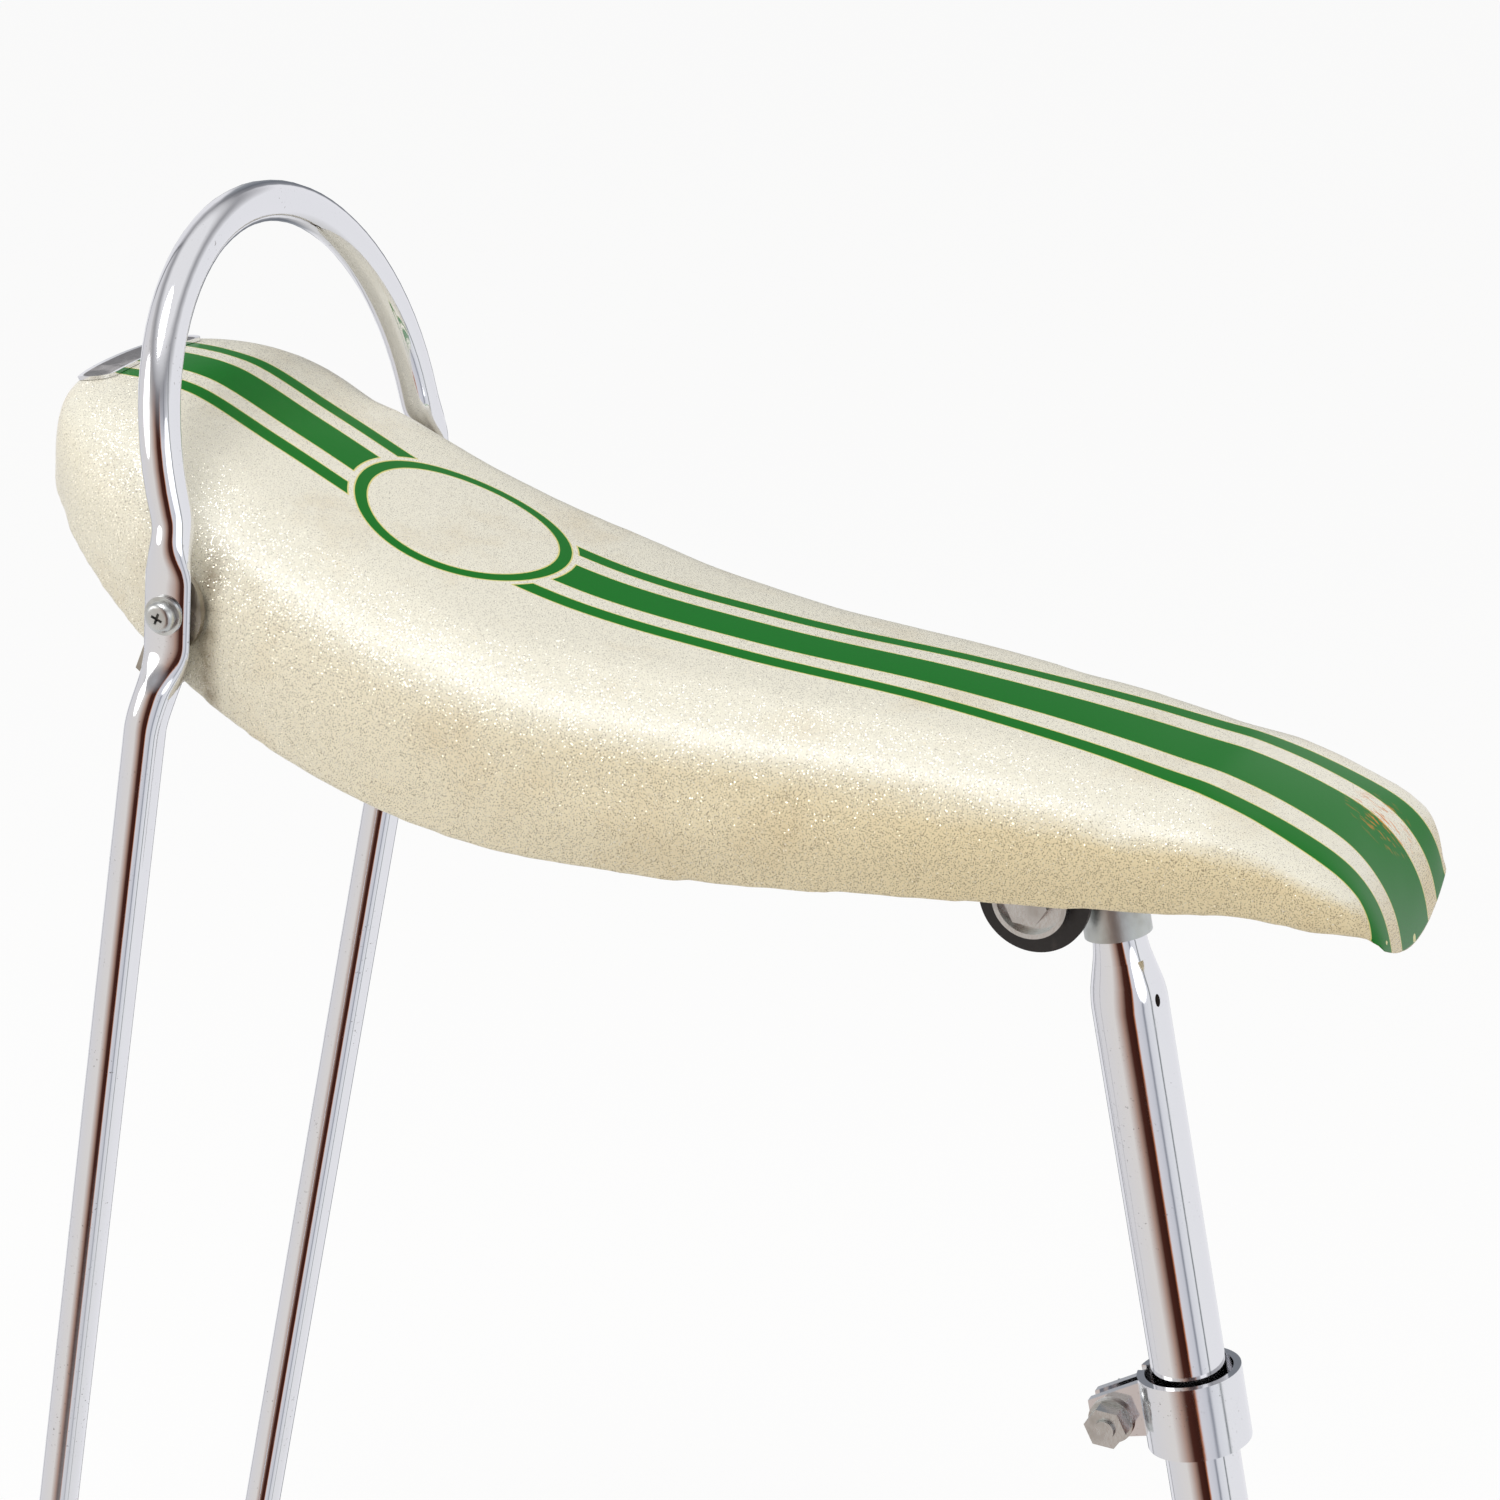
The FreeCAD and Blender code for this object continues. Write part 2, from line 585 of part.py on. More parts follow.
def barHalf():
    # The right half, measured from the bolt axis.
    body = newBody("bar_half")
    place(body, "barBoltX", "0", "barBoltZ")
    edge, crimpEnd = "(flatHalf - 1)", "(flatHalf + crimpRun)"
    axleStart = "(legLength - axleFlatWidth * 0.6)"
    flatY, legY, endY = f"-{flatMid}", f"-({flatMid} + legFlare)", "-legEndHalf"

    def circleAt(label, plane):
        sketch = newSketch(body, label, "XY_Plane", **plane)
        addCircle(sketch, "barDia")
        return sketch

    def ovalAt(label, plane, width, thick):
        sketch = newSketch(body, label, "XY_Plane", **plane)
        addEllipse(sketch, f"{width} / 2 - seatGap", f"{thick} / 2 - seatGap")
        return sketch

    loopFoot = circleAt("loopFoot", acrossLoop("loopRise", f"-{loopHalf}", "loopShift"))
    loopOval = ovalAt("loopOval", acrossLoop(edge, flatY), "flatWidth", "flatThick")
    addLoft(body, [loopFoot, loopOval])
    section = newSketch(body, "loopSection", "XY_Plane", **acrossLoop("loopRise", "0", "loopShift"))
    addCircle(section, "barDia", "0", f"-{loopHalf}")
    addRevolution(body, section, "H_Axis", 90, backward=True)

    flat = newSketch(body, "boltFlat", "XZ_Plane", z=flatMid)
    mitre = "(flatWidth / 2 / cos((loopRake + legRake) / 2))"
    turn = "(loopRake - legRake) / 2"
    up, down = "flatHalf * {}(loopRake)", "flatHalf * {}(legRake)"
    sideUp, sideDown = "flatWidth / 2 * {}(loopRake)", "flatWidth / 2 * {}(legRake)"
    corners = []
    for sign in ("-", "+"):
        corners.append([
            (f"-{up} {sign} {sideUp}".format("sin", "cos"),
             f"{up} {sign} {sideUp}".format("cos", "sin")),
            (f"0 {sign} {mitre} * cos({turn})", f"0 {sign} {mitre} * sin({turn})"),
            (f"-{down} {sign} {sideDown}".format("sin", "cos"),
             f"-{down} {'+' if sign == '-' else '-'} {sideDown}".format("cos", "sin"))])
    addPolygon(flat, corners[0] + corners[1][::-1])
    addPad(body, flat, "flatThick", midplane=True)

    legOval = ovalAt("legOval", acrossLeg(edge, flatY), "flatWidth", "flatThick")
    legTop = circleAt("legTop", acrossLeg(crimpEnd, legY))
    addLoft(body, [legOval, legTop])
    legStart = circleAt("legStart", acrossLeg(crimpEnd, legY))
    legEnd = circleAt("legEnd", acrossLeg(f"{axleStart} - crimpRun", endY))
    addLoft(body, [legStart, legEnd], ruled=True)
    axleNeck = circleAt("axleNeck", acrossLeg(f"{axleStart} - crimpRun", endY))
    axleOval = ovalAt("axleOval", acrossLeg(axleStart, endY), "axleFlatWidth", "axleFlatThick")
    addLoft(body, [axleNeck, axleOval])
    eyeX, eyeZ = "-legLength * sin(legRake)", "-legLength * cos(legRake)"
    eye = newSketch(body, "axleEye", "XZ_Plane", z="legEndHalf")
    addCircle(eye, "axleFlatWidth", eyeX, eyeZ)
    addPad(body, eye, "axleFlatThick", midplane=True)
    strap = newSketch(body, "axleStrap", "XZ_Plane", z="legEndHalf")
    sideX, sideZ = "axleFlatWidth / 2 * cos(legRake)", "axleFlatWidth / 2 * sin(legRake)"
    rootX, rootZ = f"-({axleStart} - 1) * sin(legRake)", f"-({axleStart} - 1) * cos(legRake)"
    addPolygon(strap, [
        (f"{eyeX} - {sideX}", f"{eyeZ} + {sideZ}"), (f"{eyeX} + {sideX}", f"{eyeZ} - {sideZ}"),
        (f"{rootX} + {sideX}", f"{rootZ} - {sideZ}"), (f"{rootX} - {sideX}", f"{rootZ} + {sideZ}")])
    addPad(body, strap, "axleFlatThick", midplane=True)
    hole = newSketch(body, "axleHole", "XZ_Plane", z="legEndHalf")
    addCircle(hole, "axleHoleDia", eyeX, eyeZ)
    addPocket(body, hole, "axleFlatWidth", midplane=True)
    screwHole = newSketch(body, "flatHole", "XZ_Plane", z=flatMid)
    addCircle(screwHole, "barBoltDia + 2 * runFit")
    addPocket(body, screwHole, "barDia", midplane=True)
    return body


def mirrored(label, source):
    image = doc.addObject("Part::Mirroring", label)
    image.Source = source
    image.Normal = yAxis
    return image


earFace = "(barrelHalf + washerThick + 3 * seatGap)"
earHalf = "(pinchHalf + earClear)"
flatOuter = f"({earHalf} + earWall + seatGap + flatThick)"
flatMid = f"({flatOuter} - flatThick / 2)"
loopHalf = f"({flatMid} - loopInset)"
boltUp = "(boltAxisZ * cos(postLean) - boltAxisX * sin(postLean))"
boltBack = "(boltAxisX * cos(postLean) + boltAxisZ * sin(postLean))"
neckTop = f"({boltUp} - barrelRadius / 2)"
collarSpot = ("collarBoltX * cos(postLean) - collarBoltZ * sin(postLean)",
              "collarBoltX * sin(postLean) + collarBoltZ * cos(postLean)")
barSpot = ("barBoltX", "barBoltZ")
clampSpot = ("boltAxisX", "boltAxisZ")

nodes = [coverShell(), seatPan(), panBracket(), seatPost(), clampStem(), postCollar()]
rightEar = panEar()
nodes += [rightEar, mirrored("pan_ear_left", rightEar)]
half = barHalf()
otherHalf = mirrored("bar_half_left", half)
bar = doc.addObject("Part::Fuse", "sissy_bar")
bar.Base, bar.Tool = half, otherHalf
nodes.append(bar)
for side, sign in sides:
    nodes += [serratedWasher(side, sign), cuppedWasher(side, sign), barScrew(side, sign)]
    washerStart = f"{flatOuter} + runFit" if sign < 0 else f"-{flatOuter} - runFit - barWasherThick"
    nutStart = f"{earHalf} - runFit - barNutThick" if sign < 0 else f"-{earHalf} + runFit"
    nodes += [
        flatWasher("bar_washer_" + side, barSpot, washerStart,
                   "barHeadDia + barWasherThick * 2", "barBoltDia", "barWasherThick"),
        hexNut("bar_nut_" + side, barSpot, nutStart, "barNutFlats", "barNutThick", "barBoltDia")]

cupSeat = f"({earFace} + bracketWall + seatGap + cupWall + runFit)"
clampEnd = f"{cupSeat} + clampNutThick + cupWall"
lugFace = "(lugGap / 2 + lugWall + runFit)"
nutFace = f"{lugFace} + collarWasherThick + runFit"
nodes += [
    hexBolt("clamp_bolt", clampSpot, cupSeat, "nutFlats", "clampNutThick",
            f"-({clampEnd})", f"{cupSeat} + clampNutThick / 2", "clampBoltDia"),
    hexNut("clamp_nut", clampSpot, f"-{cupSeat} - clampNutThick", "nutFlats",
           "clampNutThick", "clampBoltDia"),
    hexBolt("collar_bolt", collarSpot, f"-{lugFace} - collarNutThick", "nutFlats",
            "collarNutThick", f"-{lugFace} - collarNutThick / 2",
            f"({nutFace} + collarNutThick + collarWasherThick)", "collarBoltDia"),
    flatWasher("collar_washer", collarSpot, lugFace, "nutFlats + 2 * collarWasherThick",
               "collarBoltDia", "collarWasherThick"),
    hexNut("collar_nut", collarSpot, nutFace, "nutFlats", "collarNutThick", "collarBoltDia")]


def checkedShape(item):
    shape = item.Shape
    if shape.isNull() or not shape.isValid():
        raise RuntimeError(item.Label + " has no valid shape")
    return shape


doc.recompute()
for item in doc.Objects:
    if "Invalid" in item.State or "Error" in item.State:
        raise RuntimeError(f"{item.Label} failed: {item.State}")
os.makedirs("parts", exist_ok=True)
for item in nodes:
    checkedShape(item).exportStep(f"parts/{item.Label}.step")
    box = item.Shape.BoundBox
    print(f"{item.Label}: {len(item.Shape.Solids)} solid, {item.Shape.Volume:.0f} mm3, "
          f"X {box.XMin:.1f}..{box.XMax:.1f} Y {box.YMin:.1f}..{box.YMax:.1f} "
          f"Z {box.ZMin:.1f}..{box.ZMax:.1f}")
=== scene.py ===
from math import radians, pi, sin, cos

import bmesh
import bpy
import numpy as np
from mathutils import Matrix, Vector


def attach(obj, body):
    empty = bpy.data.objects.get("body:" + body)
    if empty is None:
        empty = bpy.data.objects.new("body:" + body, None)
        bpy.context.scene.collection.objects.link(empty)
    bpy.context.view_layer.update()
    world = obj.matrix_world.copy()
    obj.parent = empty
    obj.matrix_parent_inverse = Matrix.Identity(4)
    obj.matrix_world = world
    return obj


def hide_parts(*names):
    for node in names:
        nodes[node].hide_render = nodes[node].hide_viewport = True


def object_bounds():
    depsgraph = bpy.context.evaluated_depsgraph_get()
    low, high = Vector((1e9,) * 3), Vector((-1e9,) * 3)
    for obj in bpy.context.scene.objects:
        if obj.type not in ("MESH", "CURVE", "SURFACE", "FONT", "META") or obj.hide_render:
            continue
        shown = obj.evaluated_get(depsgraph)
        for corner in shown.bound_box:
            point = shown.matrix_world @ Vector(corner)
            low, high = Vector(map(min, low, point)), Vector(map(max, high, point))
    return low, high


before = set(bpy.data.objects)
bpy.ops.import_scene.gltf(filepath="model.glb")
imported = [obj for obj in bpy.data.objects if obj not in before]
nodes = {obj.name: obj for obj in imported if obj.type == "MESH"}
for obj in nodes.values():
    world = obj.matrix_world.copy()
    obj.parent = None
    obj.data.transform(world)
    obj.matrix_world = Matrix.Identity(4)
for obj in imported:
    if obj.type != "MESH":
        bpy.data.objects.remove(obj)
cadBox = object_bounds()
scene = bpy.context.scene
print("frame loaded:", len(nodes), "nodes")


# Helpers

def srgb(r, g, b):
    # 0 to 255 as seen on a screen, to the shader's linear colour
    def lin(c):
        c /= 255
        return c / 12.92 if c <= 0.04045 else ((c + 0.055) / 1.055) ** 2.4
    return (lin(r), lin(g), lin(b), 1.0)


def deselectAll():
    if bpy.context.object and bpy.context.object.mode != "OBJECT":
        bpy.ops.object.mode_set(mode="OBJECT")
    bpy.ops.object.select_all(action="DESELECT")


def pick(obj):
    deselectAll()
    obj.select_set(True)
    bpy.context.view_layer.objects.active = obj


def startPiece(name, adder, size=None, **options):
    deselectAll()
    adder(**options)
    obj = bpy.context.object
    obj.name = obj.data.name = name
    if size:
        obj.scale = size
    return obj


def settle(obj):
    # its place goes into the mesh, so the object stands at the origin
    pick(obj)
    bpy.ops.object.transform_apply(location=True, rotation=True, scale=True)


def applyModifier(obj, kind, **settings):
    pick(obj)
    modifier = obj.modifiers.new(kind.title(), kind)
    for key, value in settings.items():
        setattr(modifier, key, value)
    bpy.ops.object.modifier_apply(modifier=modifier.name)


def selectWhere(obj, test, kind="FACE"):
    # leaves the object in edit mode with the faces or vertices that pass selected
    pick(obj)
    bpy.ops.object.mode_set(mode="EDIT")
    bpy.ops.mesh.select_mode(type=kind)
    bpy.ops.mesh.select_all(action="DESELECT")
    mesh = bmesh.from_edit_mesh(obj.data)
    for item in (mesh.faces if kind == "FACE" else mesh.verts):
        item.select = test(item)
    mesh.select_flush_mode()
    bmesh.update_edit_mesh(obj.data)


def dress(obj, body, material):
    obj.data.materials.clear()
    obj.data.materials.append(material)
    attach(obj, body)


# Node helpers

def newMaterial(name):
    material = bpy.data.materials.new(name)
    material.use_nodes = True
    tree = material.node_tree
    tree.nodes.clear()
    return material, tree


def node(tree, kind, inputs=None, **settings):
    made = tree.nodes.new("ShaderNode" + kind)
    for key, value in settings.items():
        setattr(made, key, value)
    for key, value in (inputs or {}).items():
        if hasattr(value, "is_output"):
            tree.links.new(value, made.inputs[key])
        else:
            made.inputs[key].default_value = value
    return made


def calc(tree, operation, *values, clamp=False):
    return node(tree, "Math", dict(enumerate(values)), operation=operation, use_clamp=clamp).outputs[0]


def blendColour(tree, share, first, second):
    mix = node(tree, "Mix", data_type="RGBA")
    for slotNumber, value in ((0, share), (6, first), (7, second)):
        if hasattr(value, "is_output"):
            tree.links.new(value, mix.inputs[slotNumber])
        else:
            mix.inputs[slotNumber].default_value = value
    return mix.outputs[2]


def ramp(tree, value, stops):
    made = node(tree, "ValToRGB", {"Fac": value})
    points = made.color_ramp.elements
    while len(points) < len(stops):
        points.new(0.5)
    for point, (place, colour) in zip(points, stops):
        point.position = place
        point.color = colour if isinstance(colour, tuple) else (colour, colour, colour, 1)
    return made.outputs["Color"]


def noise(tree, place, scale, detail=3.0, roughness=0.5):
    return node(tree, "TexNoise", {"Vector": place, "Scale": scale, "Detail": detail,
                                   "Roughness": roughness}).outputs["Fac"]


def objectPlace(tree):
    return node(tree, "TexCoord").outputs["Object"]


def finishMaterial(tree, shader):
    node(tree, "OutputMaterial", {"Surface": shader})


# Camera

camera = {"yaw": 22.5, "pitch": 20.5, "roll": 3.0, "lens": 96.0,
          "place": (0.3081, -1.1583, 0.6598)}


def addCamera():
    data = bpy.data.cameras.new("camera")
    obj = bpy.data.objects.new("camera", data)
    scene.collection.objects.link(obj)
    data.lens = camera["lens"]
    data.sensor_width = 36.0
    turn = (Matrix.Rotation(radians(camera["yaw"]), 4, "Z")
            @ Matrix.Rotation(radians(90 - camera["pitch"]), 4, "X")
            @ Matrix.Rotation(radians(camera["roll"]), 4, "Z"))
    obj.matrix_world = Matrix.Translation(camera["place"]) @ turn
    scene.camera = obj
    print("camera set")


# Studio: pale floor, soft lamps, white surroundings

studio = {
    "floorDrop": 0.0006, "floorSize": 14.0, "floorPaint": srgb(250, 250, 250),
    "floorRough": 0.8, "floorWhite": 0.85, "backdrop": srgb(249, 249, 249),
    "lamps": [
        # name, place, aims at, size, watts
        ("overhead", (-0.42, -0.62, 1.75), (-0.15, 0.0, 0.15), 0.8, 11.5),
        ("leftSoft", (-1.7, -1.2, 0.8), (-0.2, 0.0, 0.1), 1.2, 5.5),
        ("rightSoft", (1.8, -1.0, 0.9), (0.0, 0.0, 0.1), 1.3, 4.0),
    ],
    "worldLight": 0.70, "worldTint": (1.0, 0.99, 0.97, 1),
    # what bright metal mirrors round the room: share of a turn, colour
    "room": [
        (0.0, (112, 116, 124)), (0.026, (150, 154, 160)), (0.040, (240, 240, 244)),
        (0.108, (236, 236, 240)), (0.117, (74, 76, 82)),
        (0.126, (226, 226, 230)), (0.36, (234, 230, 226)), (0.43, (176, 146, 132)),
        (0.465, (74, 40, 32)), (0.515, (58, 30, 24)), (0.523, (196, 118, 72)),
        (0.532, (226, 226, 232)), (0.585, (212, 214, 222)), (0.60, (140, 144, 154)),
        (0.615, (228, 230, 236)), (0.668, (240, 242, 246)), (0.677, (84, 94, 96)),
        (0.688, (246, 247, 250)), (0.952, (244, 244, 248)), (0.966, (150, 152, 158)),
        (1.0, (112, 116, 124)),
    ],
    "dome": [(0.0, (200, 200, 202)), (0.45, (116, 114, 116)), (0.66, (150, 150, 154)),
             (0.86, (244, 244, 246))],
    # where the room gives way to the dome above and to the floor below, by height
    "domeFrom": 0.42, "domeTo": 0.7, "lowFrom": -0.6, "lowTo": -0.85, "lowColour": srgb(222, 222, 222),
}


def addStudio():
    low = cadBox[0][2] - studio["floorDrop"]
    floor = startPiece("floor", bpy.ops.mesh.primitive_plane_add, location=(0, 0, low),
                       size=(studio["floorSize"] / 2, studio["floorSize"] / 2, 1))
    settle(floor)
    material, tree = newMaterial("paleFloor")
    paint = node(tree, "BsdfPrincipled", {"Base Color": studio["floorPaint"],
                                          "Roughness": studio["floorRough"]})
    # bright metal looks past the floor to the studio behind it
    rays = node(tree, "LightPath").outputs
    clear = node(tree, "BsdfTransparent")
    white = seenWhite(tree, paint.outputs[0], studio["floorWhite"])
    finishMaterial(tree, node(tree, "MixShader", {0: rays["Is Glossy Ray"], 1: white,
                                                  2: clear.outputs[0]}).outputs[0])
    floor.data.materials.append(material)
    for name, place, aim, size, watts in studio["lamps"]:
        data = bpy.data.lights.new(name, "AREA")
        data.shape, data.size, data.energy = "DISK", size, watts
        lamp = bpy.data.objects.new(name, data)
        scene.collection.objects.link(lamp)
        lamp.location = place
        lamp.rotation_euler = (Vector(aim) - Vector(place)).to_track_quat("-Z", "Y").to_euler()
    addWorld()
    scene.view_settings.view_transform = "Standard"
    print("studio set")


def seenWhite(tree, shader, share):
    # the camera sees it near white, while it lights and shades as itself
    rays = node(tree, "LightPath").outputs
    seen = calc(tree, "MAXIMUM", rays["Is Camera Ray"], rays["Is Transmission Ray"])
    white = node(tree, "Emission", {"Color": (1, 1, 1, 1), "Strength": 1.0})
    return node(tree, "MixShader", {0: calc(tree, "MULTIPLY", seen, share), 1: shader,
                                    2: white.outputs[0]}).outputs[0]


def addWorld():
    world = bpy.data.worlds.new("studio")
    world.use_nodes = True
    scene.world = world
    tree = world.node_tree
    tree.nodes.clear()
    rays = node(tree, "LightPath").outputs
    way = node(tree, "TexCoord").outputs["Generated"]
    split = node(tree, "SeparateXYZ", {0: way}).outputs
    # turn about the vertical, 0.5 straight behind the camera
    facing = calc(tree, "SUBTRACT", calc(tree, "ARCTAN2", split[1], split[0]),
                  radians(camera["yaw"] - 90))
    facing = calc(tree, "WRAP", facing, pi, -pi)
    share = calc(tree, "ADD", calc(tree, "DIVIDE", facing, 2 * pi), 0.5)
    room = ramp(tree, share, [(place, srgb(*colour)) for place, colour in studio["room"]])
    dome = ramp(tree, split[2], [(place, srgb(*colour)) for place, colour in studio["dome"]])
    high = node(tree, "MapRange", {0: split[2], 1: studio["domeFrom"], 2: studio["domeTo"]}).outputs[0]
    low = node(tree, "MapRange", {0: split[2], 1: studio["lowFrom"], 2: studio["lowTo"]}).outputs[0]
    room = blendColour(tree, high, room, dome)
    room = blendColour(tree, low, room, studio["lowColour"])
    lit = node(tree, "Background", {"Color": studio["worldTint"], "Strength": studio["worldLight"]})
    mirrored = node(tree, "Background", {"Color": room, "Strength": 1.0})
    seen = node(tree, "Background", {"Color": studio["backdrop"], "Strength": 1.0})
    glossy = node(tree, "MixShader", {0: rays["Is Glossy Ray"], 1: lit.outputs[0],
                                      2: mirrored.outputs[0]})
    straight = calc(tree, "MAXIMUM", rays["Is Camera Ray"], rays["Is Transmission Ray"])
    both = node(tree, "MixShader", {0: straight, 1: glossy.outputs[0], 2: seen.outputs[0]})
    node(tree, "OutputWorld", {"Surface": both.outputs[0]})


# Finishes

def spot(tree, place, at, reach):
    # 1 at the place, fading to 0 at the reach
    away = node(tree, "VectorMath", {0: place, 1: at}, operation="DISTANCE").outputs["Value"]
    return calc(tree, "SUBTRACT", 1.0, calc(tree, "DIVIDE", away, reach), clamp=True)


plating = {"tint": (0.80, 0.80, 0.82, 1), "hazeScale": 60.0, "speckScale": 900.0, "patchScale": 35.0,
           "pit": srgb(84, 70, 56), "nick": srgb(30, 24, 20), "nickTall": 0.45,
           "hazeRough": 0.09, "pitRough": 0.4}


def chromePlate(name, pits=0.5, dull=0.045, mark=None):
    material, tree = newMaterial(name)
    place = objectPlace(tree)
    haze = noise(tree, place, plating["hazeScale"], 4.0)
    specks = noise(tree, place, plating["speckScale"], 2.0, 0.6)
    patches = noise(tree, place, plating["patchScale"], 3.0)
    pitted = calc(tree, "MULTIPLY", ramp(tree, specks, [(0.66, 0.0), (0.72, 1.0)]),
                  ramp(tree, patches, [(0.5, 0.0), (0.62, 1.0)]))
    pitted = calc(tree, "MULTIPLY", pitted, pits)
    if mark:
        # one dark nick, taller than wide
        at, reach = mark
        tall = (1.0, 1.0, plating["nickTall"])
        drawn = node(tree, "VectorMath", {0: place, 1: tall}, operation="MULTIPLY").outputs[0]
        near = spot(tree, drawn, tuple(a * b for a, b in zip(at, tall)), reach)
        pitted = calc(tree, "MAXIMUM", pitted, calc(tree, "GREATER_THAN", near, 0.05))
    colour = blendColour(tree, pitted, plating["tint"], plating["nick"] if mark else plating["pit"])
    hazed = calc(tree, "MULTIPLY", ramp(tree, haze, [(0.45, 0.0), (0.75, 1.0)]), plating["hazeRough"])
    rough = calc(tree, "ADD", hazed, dull)
    rough = calc(tree, "ADD", rough, calc(tree, "MULTIPLY", pitted, plating["pitRough"]))
    bump = node(tree, "Bump", {"Strength": 0.12, "Distance": 0.0004, "Height": haze})
    shader = node(tree, "BsdfPrincipled", {"Base Color": colour, "Metallic": 1.0,
                                           "Roughness": rough, "Normal": bump.outputs[0]})
    finishMaterial(tree, shader.outputs[0])
    return material


zincSkin = {"grainScale": 700.0, "cloudScale": 90.0, "dirt": srgb(122, 112, 92), "cloudRough": 0.25}


def zincPlate(name, tint=srgb(214, 217, 216), rough=0.24, stain=0.3):
    material, tree = newMaterial(name)
    place = objectPlace(tree)
    grain = noise(tree, place, zincSkin["grainScale"], 3.0, 0.65)
    cloud = noise(tree, place, zincSkin["cloudScale"], 4.0)
    dirt = calc(tree, "MULTIPLY", ramp(tree, cloud, [(0.48, 0.0), (0.7, 1.0)]), stain)
    colour = blendColour(tree, dirt, tint, zincSkin["dirt"])
    roughness = calc(tree, "ADD", calc(tree, "MULTIPLY", cloud, zincSkin["cloudRough"]), rough - 0.1)
    bump = node(tree, "Bump", {"Strength": 0.25, "Distance": 0.0003, "Height": grain})
    shader = node(tree, "BsdfPrincipled", {"Base Color": colour, "Metallic": 1.0,
                                           "Roughness": roughness, "Normal": bump.outputs[0]})
    finishMaterial(tree, shader.outputs[0])
    return material


paintSkin = {"fineScale": 500.0, "cloudScale": 70.0, "wornShare": 0.6}


def paintedSteel(name, colour, worn, rough=0.4):
    material, tree = newMaterial(name)
    place = objectPlace(tree)
    fine = noise(tree, place, paintSkin["fineScale"], 3.0)
    cloud = noise(tree, place, paintSkin["cloudScale"], 4.0)
    wear = calc(tree, "MULTIPLY", ramp(tree, cloud, [(0.58, 0.0), (0.66, 1.0)]), paintSkin["wornShare"])
    mixed = blendColour(tree, wear, colour, worn)
    roughness = calc(tree, "ADD", calc(tree, "MULTIPLY", fine, 0.2), rough - 0.1)
    bump = node(tree, "Bump", {"Strength": 0.2, "Distance": 0.0003, "Height": fine})
    shader = node(tree, "BsdfPrincipled", {"Base Color": mixed, "Metallic": 0.0,
                                           "Roughness": roughness, "Normal": bump.outputs[0]})
    finishMaterial(tree, shader.outputs[0])
    return material


# Seat cover: glitter vinyl drawn over foam, with printed stripes

vinyl = {
    # cream is the colour of the lit top; the deeper cream after it is painted shade for the side walls
    "cream": srgb(229, 225, 209), "creamShaded": srgb(218, 200, 158), "tan": srgb(196, 170, 124),
    "green": srgb(8, 114, 26), "greenDeep": srgb(2, 90, 14), "edge": srgb(214, 204, 128),
    # where the painted shade on the side walls grows, from the tail toward the nose
    "sideShadeFrom": -0.36, "sideShadeTo": -0.08,
    # stripe edges from the middle: half width, how much wider at the nose, how late it widens
    "wideHalf": (0.0091, 0.0066, 2.0), "thinInner": (0.0178, 0.0095, 1.3),
    "thinOuter": (0.0244, 0.0150, 1.9), "edgeWidth": 0.0005, "drift": -0.0038,
    "spreadFrom": -0.15, "spreadTo": 0.058,
    "ringPlace": (-0.2815, 0.0, 0.2515), "ringSlope": 19.5,
    "ringOuter": 0.0385, "ringInner": 0.0343, "ringClear": 0.0412,
    "flakeScale": 2700.0, "flakeShare": 0.44, "flakeLean": 0.9,
    # the second flake colour is painted shade: the dark look of flakes that catch no light
    "flakeLight": srgb(236, 232, 220), "flakeShaded": srgb(126, 110, 88),
    # grime and painted shade in the crease beside the bar, and scuffs on the nose
    "grimeAndShade": srgb(112, 92, 58), "creaseShadePlace": -0.3325, "creaseShadeWidth": 0.0065, "creaseShadeFrom": 0.070,
    "scuff": srgb(214, 128, 30), "scuffPlace": (0.042, 0.013, 0.205), "scuffReach": 0.015,
    "chip": srgb(214, 210, 150), "chips": [(0.0560, -0.0340, 0.1830), (0.0600, -0.0050, 0.1745)],
    "chipReach": 0.0022,
    "grainScale": 1500.0, "cloudScale": 14.0, "stainScale": 22.0, "stainShare": 0.28,
    # the first two: strength of the painted shade on the side walls, and the share of flakes painted
    # shaded there
    "sideShadeShare": 0.85, "shadedFlakeShare": 0.86, "flakeSize": 0.42, "flakeCover": 0.8, "printFrom": -0.45,
}


def band(tree, distance, inner, outer):
    # 1 between the two distances
    above = calc(tree, "GREATER_THAN", distance, inner)
    below = calc(tree, "LESS_THAN", distance, outer)
    return calc(tree, "MULTIPLY", above, below)


